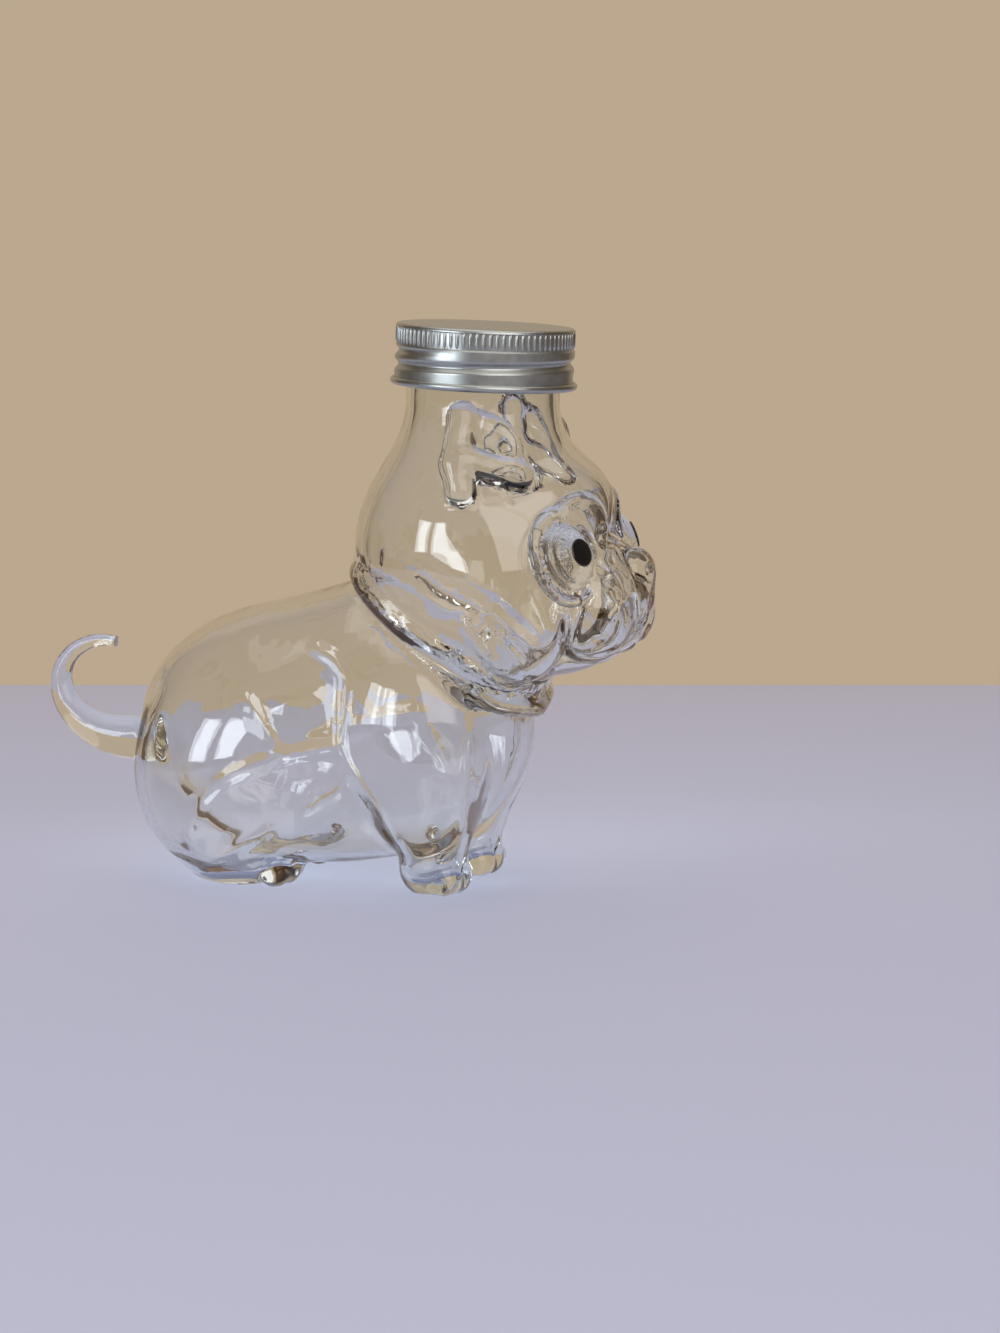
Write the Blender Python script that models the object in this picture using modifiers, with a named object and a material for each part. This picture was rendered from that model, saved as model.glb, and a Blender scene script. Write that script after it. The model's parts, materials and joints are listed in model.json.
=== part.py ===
"""Dog-shaped glass jar with a rolled aluminium screw lid.

The jar is one blown-glass shell: a standing, short-nosed dog whose head runs up into a round
neck with a screw finish. Solid glass ears and a curled tail are fused to it, the pupils are
black enamel dots, and the lid holds a loose sealing liner.

The blown form is made the way it would be modelled in clay. Lumps of plain primitives are
fused by a voxel remesh, and every vertex is then settled on the smoothly blended surface of
the same lumps. The hollow is a plainer form, one wall smaller, cut from it.

Units are metres, +Z is up, the dog looks along +X, and the origin is under the middle of the
whole object, on the surface that it stands on.
"""

import math
from collections import namedtuple

import bmesh
import bpy
import numpy as np
from mathutils import Matrix, Vector

MM = 0.001

# Driving sizes of the animal
TRUNK_LENGTH = 120.0 * MM
TRUNK_WIDTH = 80.0 * MM
TRUNK_HEIGHT = 84.0 * MM
HEAD_RADIUS = 38.3 * MM
HEAD_RISE = 15.0 * MM
HEAD_MIDDLE_HEIGHT = TRUNK_HEIGHT + HEAD_RISE
NECK_LEAN = math.radians(2.5)
BELLY_LIFT = 4.2 * MM

# Glass walls
GLASS_WALL = 3.0 * MM
INNER_FLOOR = 4.0 * MM
SEAT_GAP = 0.3 * MM
CUT_OVERRUN = 12.0 * MM

# Neck and screw finish
NECK_RADIUS = 23.0 * MM
NECK_RISE = 46.0 * MM
FINISH_RADIUS = 24.3 * MM
FINISH_HEIGHT = 13.6 * MM
FINISH_ROUND = 1.0 * MM
RIM_RISE = 21.0 * MM
BORE_RADIUS = 19.6 * MM

# Glass thread
THREAD_PITCH = 4.233 * MM
THREAD_TURNS = 1.25
THREAD_BEAD_RADIUS = 1.3 * MM
THREAD_STAND_OUT = 1.0 * MM
THREAD_DROP = 3.6 * MM
THREAD_STEPS = 40

# Rolled lid and its liner
SHEET = 0.5 * MM
LID_CLEARANCE = 0.4 * MM
LID_HEIGHT = 18.2 * MM
LID_CORNER = 1.9 * MM
CURL_RADIUS = 1.15 * MM
CURL_START = 60
CURL_END = -90
LID_GROOVE = 0.5 * MM
LINER_THICKNESS = 1.2 * MM

# Tail, a curled rod of solid glass that tapers to its tip
TAIL_ROOT_RADIUS = 7.3 * MM
TAIL_TIP_RADIUS = 1.7 * MM
TAIL_CURL_WIDTH = 37.0 * MM
TAIL_CURL_HEIGHT = 27.5 * MM
TAIL_ROOT_HEIGHT = 41.0 * MM

# Eyes
EYE_RADIUS = 11.8 * MM
EYE_DOME = 2.2 * MM
EYE_SINK = 4.0 * MM
EYE_RING_RADIUS = 13.3 * MM
EYE_RING = 1.6 * MM
EYE_REACH = 37.2 * MM
EYE_SPREAD = 26.2 * MM
EYE_HEIGHT = 1.5 * MM
EYE_TURN = math.radians(20.0)
PUPIL_RADIUS = 4.0 * MM
PUPIL_THICKNESS = 0.8 * MM

# How finely the forms are meshed
OUTER_VOXEL = 1.8 * MM
HOLLOW_VOXEL = 3.2 * MM
EAR_VOXEL = 1.3 * MM
OUTER_TRIANGLES = 6400
HOLLOW_TRIANGLES = 2200
EAR_TRIANGLES = 700
TURNING_STEPS = 64
LUMP_STEPS = 20
SETTLE_ROUNDS = 5
RELAX_ROUNDS = 2
PROBE = 0.02 * MM
STEADY = 1e-9
LEAST_SLOPE = 0.5
CREASE_ANGLE = math.radians(40.0)

GLASS = ((0.86, 0.90, 0.90, 0.35), 0.02, 0.0)
ALUMINIUM = ((0.72, 0.73, 0.73, 1.0), 0.32, 1.0)
LINER_FOAM = ((0.90, 0.90, 0.87, 1.0), 0.7, 0.0)
ENAMEL = ((0.01, 0.01, 0.012, 1.0), 0.12, 0.0)

# A lump of clay: an ellipsoid. Its place and radii are shares of the part of the animal that
# carries it, the lean is in degrees about Y, nose down, and the blend says how softly it runs
# into the lumps before it. Lumps off the middle plane are there on both sides.
Lump = namedtuple("Lump", "name place radii lean blend")
# A limb tapers between two balls, and a roll is a thick round disc of loose skin.
Limb = namedtuple("Limb", "name start end radii blend")
Roll = namedtuple("Roll", "name place radii lean blend")

# Shares of the trunk's length, width and height, from the foot of the neck axis on the floor
TRUNK_SHARES = (
    Lump("barrel", (-0.457, 0.0, 0.515), (0.455, 0.475, 0.485), 3, 0.0),
    Lump("chest", (-0.135, 0.0, 0.585), (0.255, 0.41, 0.42), 0, 0.12),
    Lump("withers", (-0.27, 0.0, 0.86), (0.20, 0.26, 0.20), -32, 0.18),
    Lump("haunch", (-0.610, 0.235, 0.38), (0.262, 0.27, 0.375), 8, 0.07),
    Lump("shoulder", (-0.115, 0.28, 0.56), (0.18, 0.20, 0.36), -8, 0.06),
)
LEG_SHARES = (
    Limb("front_leg", (-0.100, 0.24, 0.45), (-0.080, 0.205, 0.11), (0.155, 0.080), 0.05),
    Limb("hind_leg", (-0.63, 0.33, 0.24), (-0.60, 0.25, 0.09), (0.10, 0.075), 0.06),
)
PAW_SHARES = (
    Lump("front_paw", (-0.090, 0.200, 0.075), (0.080, 0.112, 0.10), 0, 0.03),
    Lump("hind_paw", (-0.605, 0.23, 0.095), (0.150, 0.135, 0.12), 0, 0.03),
)
TOE_RADIUS_SHARE = 0.040
TOE_HEIGHT_SHARE = 0.052
TOE_SPREAD_SHARES = (-0.072, 0.0, 0.072)
TOE_TIP_SHARES = (-0.010, 0.0, -0.010)

# Shares of the head's radius, from the middle of the head
SKULL_SHARES = Lump("skull", (0.0, 0.0, 0.0), (1.0, 1.0, 1.05), 0, 0.0)
FACE_SHARES = (
    Lump("face", (0.34, 0.0, -0.10), (0.66, 0.98, 0.74), 0, 0.20),
    Lump("brow", (0.50, 0.0, 0.44), (0.53, 0.62, 0.42), 0, 0.16),
    Lump("cheek", (0.42, 0.60, -0.45), (0.46, 0.37, 0.46), 0, 0.12),
    Lump("muzzle", (0.79, 0.0, -0.25), (0.585, 0.60, 0.50), 0, 0.10),
    Lump("jowl", (0.955, 0.30, -0.36), (0.355, 0.30, 0.40), -10, 0.06),
    Lump("chin", (0.70, 0.0, -0.68), (0.40, 0.36, 0.20), -14, 0.06),
    Lump("nose", (1.27, 0.0, -0.03), (0.13, 0.22, 0.15), 0, 0.04),
)
ROLL_SHARES = (
    Roll("jaw_roll", (-0.235, 0.0, -0.715), (0.885, 1.01, 0.115), 25, 0.05),
    Roll("neck_roll", (-0.20, 0.0, -0.955), (0.74, 0.98, 0.105), 27, 0.05),
)
HOLLOW_NAMES = {
    "barrel", "chest", "withers", "haunch", "shoulder", "front_leg", "skull",
    "face", "brow", "muzzle", "jaw_roll", "neck_roll",
}

# The ear: a folded flap, thick along its rear edge, in shares of the head's radius
EAR_SHARES = (
    Limb("rear_edge", (0.07, 0.68, 1.14), (0.06, 0.81, 0.79), (0.140, 0.160), 0.0),
    Limb("rear_lobe", (0.06, 0.81, 0.79), (0.12, 0.88, 0.60), (0.160, 0.150), 0.06),
    Limb("top_edge", (0.07, 0.68, 1.14), (0.37, 0.565, 0.95), (0.140, 0.075), 0.06),
    Limb("front_edge", (0.37, 0.565, 0.95), (0.51, 0.70, 0.70), (0.075, 0.105), 0.06),
    Limb("lower_edge", (0.51, 0.70, 0.70), (0.14, 0.82, 0.82), (0.105, 0.115), 0.05),
    Lump("flap", (0.24, 0.64, 0.95), (0.30, 0.16, 0.24), 20, 0.08),
)

# Places round the tail's curl, from the root backward to the tip, as shares of its size
TAIL_PLACE_SHARES = (
    (0.17, -0.04), (-0.15, -0.07), (-0.42, -0.08), (-0.66, -0.03), (-0.86, 0.12),
    (-1.00, 0.33), (-1.03, 0.58), (-0.96, 0.82), (-0.80, 0.98), (-0.64, 1.04), (-0.50, 1.01),
)
TAIL_TAPER_SHARES = (1.0, 1.0, 0.95, 0.76, 0.56, 0.40, 0.28, 0.18, 0.10, 0.03, 0.0)


def clear_scene():
    for thing in list(bpy.data.objects):
        bpy.data.objects.remove(thing, do_unlink=True)


def material(name, finish):
    """A Principled material from a colour, a roughness and a metallic value."""
    colour, roughness, metallic = finish
    made = bpy.data.materials.new(name)
    made.use_nodes = True
    shader = made.node_tree.nodes["Principled BSDF"]
    shader.inputs["Base Color"].default_value = colour
    shader.inputs["Roughness"].default_value = roughness
    shader.inputs["Metallic"].default_value = metallic
    return made


# Distances to the lumps, for many points at once


def leaned(points, middle, degrees):
    """The points as seen from a lump that is turned about Y, nose down by so many degrees."""
    angle = math.radians(degrees)
    offset = points - middle
    along = offset[:, 0] * math.cos(angle) - offset[:, 2] * math.sin(angle)
    above = offset[:, 0] * math.sin(angle) + offset[:, 2] * math.cos(angle)
    return np.stack([along, offset[:, 1], above], axis=1)


def ellipsoid_distance(offset, radii):
    near = np.linalg.norm(offset / radii, axis=1)
    steep = np.linalg.norm(offset / np.square(radii), axis=1)
    return near * (near - 1.0) / np.maximum(steep, STEADY)


def limb_distance(points, start, end, radii):
    line = end - start
    along = np.clip((points - start) @ line / (line @ line), 0.0, 1.0)
    nearest = start + along[:, None] * line
    return np.linalg.norm(points - nearest, axis=1) - radii[0] - along * (radii[1] - radii[0])


def join_softly(first, second, blend):
    """The smaller of two distances, rounded where they are within blend of each other."""
    if blend <= 0:
        return np.minimum(first, second)
    overlap = np.maximum(blend - np.abs(first - second), 0.0) / blend
    return np.minimum(first, second) - overlap * overlap * blend / 4


def cut_softly(first, second, blend):
    return -join_softly(-first, -second, blend)


def bell_radius(height):
    """The radius of the head and neck as a turned shape, by the height above the head's middle."""
    share = np.clip(height / NECK_RISE, 0.0, 1.0)
    swell = (1 + np.cos(np.pi * share**1.3)) / 2
    return NECK_RADIUS + (HEAD_RADIUS - NECK_RADIUS) * swell


def bell_distance(points, top):
    """The upper head and the neck, a bell from the head's middle up to a flat top."""
    height = points[:, 2]
    across = np.hypot(points[:, 0], points[:, 1])
    slope = (bell_radius(height + PROBE) - bell_radius(height - PROBE)) / (2 * PROBE)
    side = (across - bell_radius(height)) / np.sqrt(1 + slope * slope)
    return np.maximum(np.maximum(side, height - top), -height)


TRUNK_SIZE = np.array([TRUNK_LENGTH, TRUNK_WIDTH, TRUNK_HEIGHT])
HEAD_SIZE = np.array([HEAD_RADIUS] * 3)
HEAD_MIDDLE = np.array([0.0, 0.0, HEAD_MIDDLE_HEIGHT])
NECK_HEIGHT = HEAD_MIDDLE_HEIGHT + NECK_RISE
RIM_HEIGHT = NECK_HEIGHT + RIM_RISE


def to_head(points):
    """Points as seen from the middle of the head."""
    return points - HEAD_MIDDLE


def toes():
    """The toes of a front and a hind paw, as lumps in trunk shares."""
    made = []
    for paw in PAW_SHARES:
        tip = paw.place[0] + paw.radii[0] - TOE_RADIUS_SHARE / 2
        for spread, reach in zip(TOE_SPREAD_SHARES, TOE_TIP_SHARES):
            place = (tip + reach, paw.place[1] + spread, TOE_HEIGHT_SHARE)
            radius = TOE_RADIUS_SHARE * TRUNK_LENGTH
            radii = tuple(radius / size for size in TRUNK_SIZE)
            made.append(Lump("toe", place, radii, 0, 0.018))
    return made


def lump_distance(points, lump, size):
    middle = np.array(lump.place) * size
    return ellipsoid_distance(leaned(points, middle, lump.lean), np.array(lump.radii) * size)


def roll_distance(points, roll, size):
    """The distance to a disc with a round rim, which is flat across its thickness."""
    radii = np.array(roll.radii) * size
    offset = leaned(points, np.array(roll.place) * size, roll.lean)
    flat = offset * np.array([1.0, 1.0, 0.0])
    rim = np.maximum(ellipsoid_distance(flat, np.array([*radii[:2] - radii[2], 1.0])), 0.0)
    return np.hypot(rim, offset[:, 2]) - radii[2]


def limb_share_distance(points, limb, size):
    radii = np.array(limb.radii) * size[0]
    return limb_distance(points, np.array(limb.start) * size, np.array(limb.end) * size, radii)


MEASURES = {Lump: lump_distance, Limb: limb_share_distance, Roll: roll_distance}


def gather(distance, points, shares, size, names=None):
    """Adds the lumps and limbs of a table to a distance, each with its own blend."""
    for form in shares:
        if names is not None and form.name not in names:
            continue
        found = MEASURES[type(form)](points, form, size)
        distance = found if distance is None else join_softly(distance, found, form.blend * size[0])
    return distance


def eye_frame(side):
    """The middle of an eye's ring and the way that the eye looks, in the head's frame."""
    look = np.array([math.cos(EYE_TURN), side * math.sin(EYE_TURN), 0.0])
    return np.array([EYE_REACH, side * EYE_SPREAD, EYE_HEIGHT]), look


def eye_distances(points):
    """Distances to the eye's dome and to the ring round it."""
    middle, look = eye_frame(1)
    offset = points - middle
    ahead = offset @ look
    across = np.linalg.norm(offset - ahead[:, None] * look, axis=1)
    flat = np.stack([ahead + EYE_SINK, across, np.zeros(len(points))], axis=1)
    dome = ellipsoid_distance(flat, np.array([EYE_DOME + EYE_SINK, EYE_RADIUS, EYE_RADIUS]))
    ring = np.hypot(across - EYE_RING_RADIUS, ahead + EYE_SINK) - EYE_RING
    return dome, ring


def mirrored(points):
    """Every point brought to the dog's left side, because the dog is the same on both."""
    return points * np.array([1.0, 0.0, 1.0]) + np.abs(points) * np.array([0.0, 1.0, 0.0])


def trunk_distance(points, names=None):
    barrel = gather(None, points, TRUNK_SHARES, TRUNK_SIZE, names)
    return cut_softly(barrel, BELLY_LIFT - points[:, 2], BELLY_LIFT)


def head_distance(points, names=None):
    head = gather(None, points, (SKULL_SHARES,), HEAD_SIZE)
    head = np.minimum(head, bell_distance(points, NECK_RISE + RIM_RISE))
    return gather(head, points, FACE_SHARES, HEAD_SIZE, names)


NECK_BLEND_SHARE = 0.10


def outer_distance(points):
    """The outside of the glass, without the floor cut and the screw finish."""
    points = mirrored(points)
    headed = to_head(points)
    body = trunk_distance(points)
    body = gather(body, points, LEG_SHARES, TRUNK_SIZE)
    body = gather(body, points, PAW_SHARES, TRUNK_SIZE)
    body = gather(body, points, toes(), TRUNK_SIZE)
    body = gather(body, headed, ROLL_SHARES, HEAD_SIZE)
    whole = join_softly(body, head_distance(headed), NECK_BLEND_SHARE * HEAD_RADIUS)
    dome, ring = eye_distances(headed)
    whole = join_softly(whole, ring, EYE_RING)
    return join_softly(whole, dome, EYE_RING / 2)


def hollow_distance(points):
    """The inside of the glass: the main forms only, one wall smaller."""
    points = mirrored(points)
    headed = to_head(points)
    body = trunk_distance(points, HOLLOW_NAMES)
    body = gather(body, points, LEG_SHARES, TRUNK_SIZE, HOLLOW_NAMES)
    body = gather(body, headed, ROLL_SHARES, HEAD_SIZE)
    head = head_distance(headed, HOLLOW_NAMES)
    whole = join_softly(body, head, 2 * NECK_BLEND_SHARE * HEAD_RADIUS) + GLASS_WALL
    floor = BELLY_LIFT + INNER_FLOOR
    return cut_softly(whole, floor - points[:, 2], 2 * INNER_FLOOR)


def ear_distance(points):
    """The ear on the dog's left."""
    return gather(None, to_head(points), EAR_SHARES, HEAD_SIZE)


# The rolled waves of the lid's skirt: how far down it, and how much of a groove
LID_WAVE_SHARES = (
    (0.36, 0.0), (0.39, 1.0), (0.41, 1.0), (0.45, 0.1), (0.52, 0.0), (0.60, 0.1),
    (0.64, 1.0), (0.66, 1.0), (0.70, 0.1), (0.80, 0.0),
)


# From lumps to a mesh


def add_ball(mesh, matrix):
    bmesh.ops.create_uvsphere(
        mesh, u_segments=LUMP_STEPS, v_segments=LUMP_STEPS // 2, radius=1.0, matrix=matrix
    )


def ball_matrix(middle, radii, degrees=0.0):
    turn = Matrix.Rotation(math.radians(degrees), 4, "Y")
    return Matrix.Translation(Vector(middle)) @ turn @ Matrix.Diagonal((*radii, 1.0))


UPRIGHT = Matrix.Identity(4)
HEAD_MATRIX = Matrix.Translation(Vector(HEAD_MIDDLE))
# The neck's own frame stands on the point where the bell of the head ends
NECK_MATRIX = Matrix.Translation((0.0, 0.0, NECK_HEIGHT)) @ Matrix.Rotation(NECK_LEAN, 4, "Y")


def add_form(mesh, form, size, frame, shrink=0.0, both=True):
    """Adds the primitives of one lump or limb, on both sides when it is off the middle."""
    if not isinstance(form, Limb):
        spots = [(np.array(form.place) * size, np.array(form.radii) * size - shrink)]
        lean = form.lean
    else:
        start, end = np.array(form.start) * size, np.array(form.end) * size
        shares = np.linspace(0.0, 1.0, LUMP_STEPS // 2)
        radii = [(form.radii[0] * (1 - s) + form.radii[1] * s) * size[0] - shrink for s in shares]
        spots = [(start * (1 - s) + end * s, [r] * 3) for s, r in zip(shares, radii)]
        lean = 0.0
    for middle, radii in spots:
        for side in (1, -1) if both and middle[1] else (1,):
            place = (middle[0], side * middle[1], middle[2])
            add_ball(mesh, frame @ ball_matrix(place, radii, lean))


def add_bell(mesh, top, shrink=0.0):
    """Adds the turned head and neck, from the head's middle up to its top."""
    heights = np.linspace(0.0, top, LUMP_STEPS)
    outline = [(0.0, 0.0)] + [(float(bell_radius(h)) - shrink, h) for h in heights] + [(0.0, top)]
    turned = turned_mesh("bell", outline, LUMP_STEPS * 2)
    turned.transform(HEAD_MATRIX)
    mesh.from_mesh(turned)
    bpy.data.meshes.remove(turned)


def turned_mesh(name, outline, steps, closed=False):
    """A profile of (radius, height) points turned about Z by a Screw modifier."""
    profile = bpy.data.meshes.new(name)
    edges = [(i, i + 1) for i in range(len(outline) - 1)]
    if closed:
        edges.append((len(outline) - 1, 0))
    profile.from_pydata([(r, 0.0, z) for r, z in outline], edges, [])
    lathe = bpy.data.objects.new(name, profile)
    bpy.context.scene.collection.objects.link(lathe)
    screw = lathe.modifiers.new("turn", "SCREW")
    screw.steps = screw.render_steps = steps
    screw.use_merge_vertices = True
    screw.merge_threshold = PROBE
    screw.use_normal_calculate = True
    made = evaluated_mesh(lathe)
    bpy.data.objects.remove(lathe)
    facing_out(made)
    return made


def evaluated_mesh(thing):
    bpy.context.view_layer.update()
    graph = bpy.context.evaluated_depsgraph_get()
    return bpy.data.meshes.new_from_object(thing.evaluated_get(graph), depsgraph=graph)


def facing_out(mesh):
    """Welds doubled points and turns every face outwards."""
    work = bmesh.new()
    work.from_mesh(mesh)
    bmesh.ops.remove_doubles(work, verts=work.verts, dist=PROBE / 4)
    bmesh.ops.recalc_face_normals(work, faces=work.faces)
    if work.calc_volume(signed=True) < 0:
        bmesh.ops.reverse_faces(work, faces=work.faces)
    work.to_mesh(mesh)
    work.free()


def points_of(mesh):
    flat = np.empty(len(mesh.vertices) * 3)
    mesh.vertices.foreach_get("co", flat)
    return flat.reshape(-1, 3)


def settled(points, distance):
    """The points moved onto the surface where the distance is zero."""
    steps = np.eye(3) * PROBE
    for _ in range(SETTLE_ROUNDS):
        here = distance(points)
        slope = np.stack([distance(points + s) - distance(points - s) for s in steps], axis=1)
        slope /= 2 * PROBE
        steep = np.maximum((slope**2).sum(axis=1), LEAST_SLOPE**2)
        points = points - (here / steep)[:, None] * slope
    return points


def relaxed(points, ends):
    """Each point moved half way to the middle of its neighbours."""
    count = np.bincount(ends.ravel(), minlength=len(points))
    total = np.zeros_like(points)
    for axis in range(3):
        total[:, axis] += np.bincount(ends[:, 0], points[ends[:, 1], axis], len(points))
        total[:, axis] += np.bincount(ends[:, 1], points[ends[:, 0], axis], len(points))
    return points / 2 + total / count[:, None] / 2


def blown_mesh(name, work, voxel, distance, triangles):
    """Fuses the primitives in work, settles them on the blended form and thins the result."""
    rough = bpy.data.meshes.new(name)
    work.to_mesh(rough)
    work.free()
    lumps = link(bpy.data.objects.new(name, rough))
    fuse = lumps.modifiers.new("fuse", "REMESH")
    fuse.mode = "VOXEL"
    fuse.voxel_size = voxel
    made = evaluated_mesh(lumps)
    ends = np.array([edge.vertices[:] for edge in made.edges])
    points = settled(points_of(made), distance)
    for _ in range(RELAX_ROUNDS):
        points = settled(relaxed(points, ends), distance)
    made.vertices.foreach_set("co", points.ravel())
    lumps.modifiers.clear()
    lumps.data = made
    halve = lumps.modifiers.new("same both sides", "MIRROR")
    halve.use_axis = (False, True, False)
    halve.use_bisect_axis = (False, True, False)
    halve.merge_threshold = PROBE
    faces = len(evaluated_mesh(lumps).polygons)
    thin = lumps.modifiers.new("thin", "DECIMATE")
    thin.ratio = min(1.0, triangles / (2 * faces))
    thin.use_symmetry = True
    thin.symmetry_axis = "Y"
    done = evaluated_mesh(lumps)
    bpy.data.objects.remove(lumps)
    facing_out(done)
    return done


def link(thing, collection=None):
    (collection or bpy.context.scene.collection).objects.link(thing)
    return thing


def solid(name, mesh, look, collection):
    """A named object for one piece of the jar."""
    made = link(bpy.data.objects.new(name, mesh), collection)
    mesh.name = name
    mesh.materials.clear()
    mesh.materials.append(look)
    mesh.shade_smooth()
    mesh.set_sharp_from_angle(angle=CREASE_ANGLE)
    return made


def helper(name, mesh, collection):
    """A cutter, which isn't a piece of the jar."""
    made = link(bpy.data.objects.new(name, mesh), collection)
    made.hide_render = True
    made.display_type = "WIRE"
    return made


def combine(target, other, operation):
    change = target.modifiers.new(f"{operation.lower()} {other.name}", "BOOLEAN")
    change.operation = operation
    change.object = other
    return change


def all_forms():
    """Every lump and limb of the outside with the size and the frame that carry it."""
    trunk = [*TRUNK_SHARES, *LEG_SHARES, *PAW_SHARES, *toes()]
    head = [SKULL_SHARES, *FACE_SHARES, *ROLL_SHARES]
    return [(f, TRUNK_SIZE, UPRIGHT) for f in trunk] + [(f, HEAD_SIZE, HEAD_MATRIX) for f in head]


def outer_mesh():
    work = bmesh.new()
    for form, size, frame in all_forms():
        add_form(work, form, size, frame)
    add_bell(work, NECK_RISE + RIM_RISE)
    for side in (1, -1):
        middle, look = eye_frame(side)
        turn = Matrix.Rotation(side * EYE_TURN, 4, "Z")
        place = Matrix.Translation(Vector(middle - look * EYE_SINK))
        radii = Matrix.Diagonal((EYE_DOME + EYE_SINK, EYE_RADIUS, EYE_RADIUS, 1.0))
        add_ball(work, HEAD_MATRIX @ place @ turn @ radii)
    return blown_mesh("outside", work, OUTER_VOXEL, outer_distance, OUTER_TRIANGLES)


def hollow_mesh():
    work = bmesh.new()
    for form, size, frame in all_forms():
        if form.name in HOLLOW_NAMES:
            add_form(work, form, size, frame, GLASS_WALL)
    add_bell(work, NECK_RISE + RIM_RISE - GLASS_WALL, GLASS_WALL)
    return blown_mesh("hollow", work, HOLLOW_VOXEL, hollow_distance, HOLLOW_TRIANGLES)


def block(low, high):
    """A box between two corners."""
    work = bmesh.new()
    size = Vector(high) - Vector(low)
    middle = (Vector(high) + Vector(low)) / 2
    bmesh.ops.create_cube(work, matrix=Matrix.Translation(middle) @ Matrix.Diagonal((*size, 1.0)))
    made = bpy.data.meshes.new("block")
    work.to_mesh(made)
    work.free()
    return made


def arc(middle, radius, start, end, steps=4):
    """Points of a profile on an arc, by angles in degrees from the outward direction."""
    angles = [math.radians(start + (end - start) * i / steps) for i in range(steps + 1)]
    return [(middle[0] + radius * math.cos(a), middle[1] + radius * math.sin(a)) for a in angles]


def finish_mesh():
    """The straight band of glass that carries the thread, with a rounded lip."""
    low = RIM_RISE - FINISH_HEIGHT
    shoulder = FINISH_RADIUS - NECK_RADIUS
    outline = [(0.0, RIM_RISE), (BORE_RADIUS, RIM_RISE)]
    outline += arc((FINISH_RADIUS - FINISH_ROUND, RIM_RISE - FINISH_ROUND), FINISH_ROUND, 90, 0)
    outline += [(FINISH_RADIUS, low), (NECK_RADIUS - shoulder, low - shoulder)]
    outline += [(0.0, low - shoulder)]
    made = turned_mesh("finish", outline, TURNING_STEPS)
    made.transform(NECK_MATRIX)
    return made


def thread_mesh():
    """The raised right-hand thread of the finish, which thins out at both ends."""
    data = bpy.data.curves.new("thread", "CURVE")
    data.dimensions = "3D"
    data.bevel_depth = THREAD_BEAD_RADIUS
    data.bevel_resolution = 1
    data.use_fill_caps = True
    spline = data.splines.new("POLY")
    spline.points.add(THREAD_STEPS)
    crest = FINISH_RADIUS + THREAD_STAND_OUT - THREAD_BEAD_RADIUS
    start = RIM_RISE - THREAD_DROP
    for index, point in enumerate(spline.points):
        share = index / THREAD_STEPS
        turn = -math.tau * THREAD_TURNS * share
        reach = crest - THREAD_STAND_OUT * max(0.0, 2 * abs(2 * share - 1) - 1)
        drop = THREAD_PITCH * THREAD_TURNS * share
        point.co = (reach * math.cos(turn), reach * math.sin(turn), start - drop, 1.0)
    bead = link(bpy.data.objects.new("thread_curve", data))
    made = evaluated_mesh(bead)
    bpy.data.objects.remove(bead)
    facing_out(made)
    made.transform(NECK_MATRIX)
    return made


def bore_mesh():
    """The straight way in through the neck."""
    high = RIM_RISE + CUT_OVERRUN
    lip = BORE_RADIUS + FINISH_ROUND
    outline = [(0.0, high), (lip, high)]
    outline += arc((lip, RIM_RISE - FINISH_ROUND), FINISH_ROUND, 90, 180)
    outline += [(BORE_RADIUS, -CUT_OVERRUN), (0.0, -CUT_OVERRUN)]
    made = turned_mesh("bore", outline, TURNING_STEPS)
    made.transform(NECK_MATRIX)
    return made


def make_glass_body(look, collection, cutters):
    """The blown shell: outside, finish and thread together, less the hollow and the bore."""
    outside = outer_mesh()
    body = solid("jar_body", outside.copy(), look, collection)
    reach = TRUNK_LENGTH + TAIL_CURL_WIDTH
    under = block((-reach, -reach, -CUT_OVERRUN), (reach, reach, 0.0))
    over = block(
        (-reach, -reach, RIM_HEIGHT - FINISH_HEIGHT / 2), (reach, reach, RIM_HEIGHT + CUT_OVERRUN)
    )
    combine(body, helper("floor_cut", under, cutters), "DIFFERENCE")
    combine(body, helper("top_cut", over, cutters), "DIFFERENCE")
    combine(body, helper("finish", finish_mesh(), cutters), "UNION")
    combine(body, helper("thread", thread_mesh(), cutters), "UNION")
    combine(body, helper("hollow", hollow_mesh(), cutters), "DIFFERENCE")
    combine(body, helper("bore", bore_mesh(), cutters), "DIFFERENCE")
    seat = helper("seat_cut", outside, cutters)
    swell = seat.modifiers.new("seat gap", "DISPLACE")
    swell.strength = SEAT_GAP
    swell.mid_level = 0.0
    return body, seat


def tail_mesh(root):
    """A tapered rod along a smooth curl in the middle plane."""
    data = bpy.data.curves.new("tail", "CURVE")
    data.dimensions = "3D"
    data.bevel_depth = TAIL_ROOT_RADIUS
    data.bevel_resolution = 3
    data.use_fill_caps = True
    data.resolution_u = 3
    spline = data.splines.new("NURBS")
    spline.points.add(len(TAIL_PLACE_SHARES) - 1)
    spline.order_u = 4
    spline.use_endpoint_u = True
    slim = TAIL_TIP_RADIUS / TAIL_ROOT_RADIUS
    for point, place, taper in zip(spline.points, TAIL_PLACE_SHARES, TAIL_TAPER_SHARES):
        along, above = place[0] * TAIL_CURL_WIDTH, place[1] * TAIL_CURL_HEIGHT
        point.co = (root[0] + along, 0.0, root[1] + above, 1.0)
        point.radius = slim + (1 - slim) * taper
    rod = link(bpy.data.objects.new("tail_curve", data))
    made = evaluated_mesh(rod)
    bpy.data.objects.remove(rod)
    facing_out(made)
    return made


RUMP_SHARE = 0.845


def make_tail(look, collection, seat):
    root = (-RUMP_SHARE * TRUNK_LENGTH, TAIL_ROOT_HEIGHT)
    tail = solid("tail", tail_mesh(root), look, collection)
    combine(tail, seat, "DIFFERENCE")
    return tail


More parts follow.
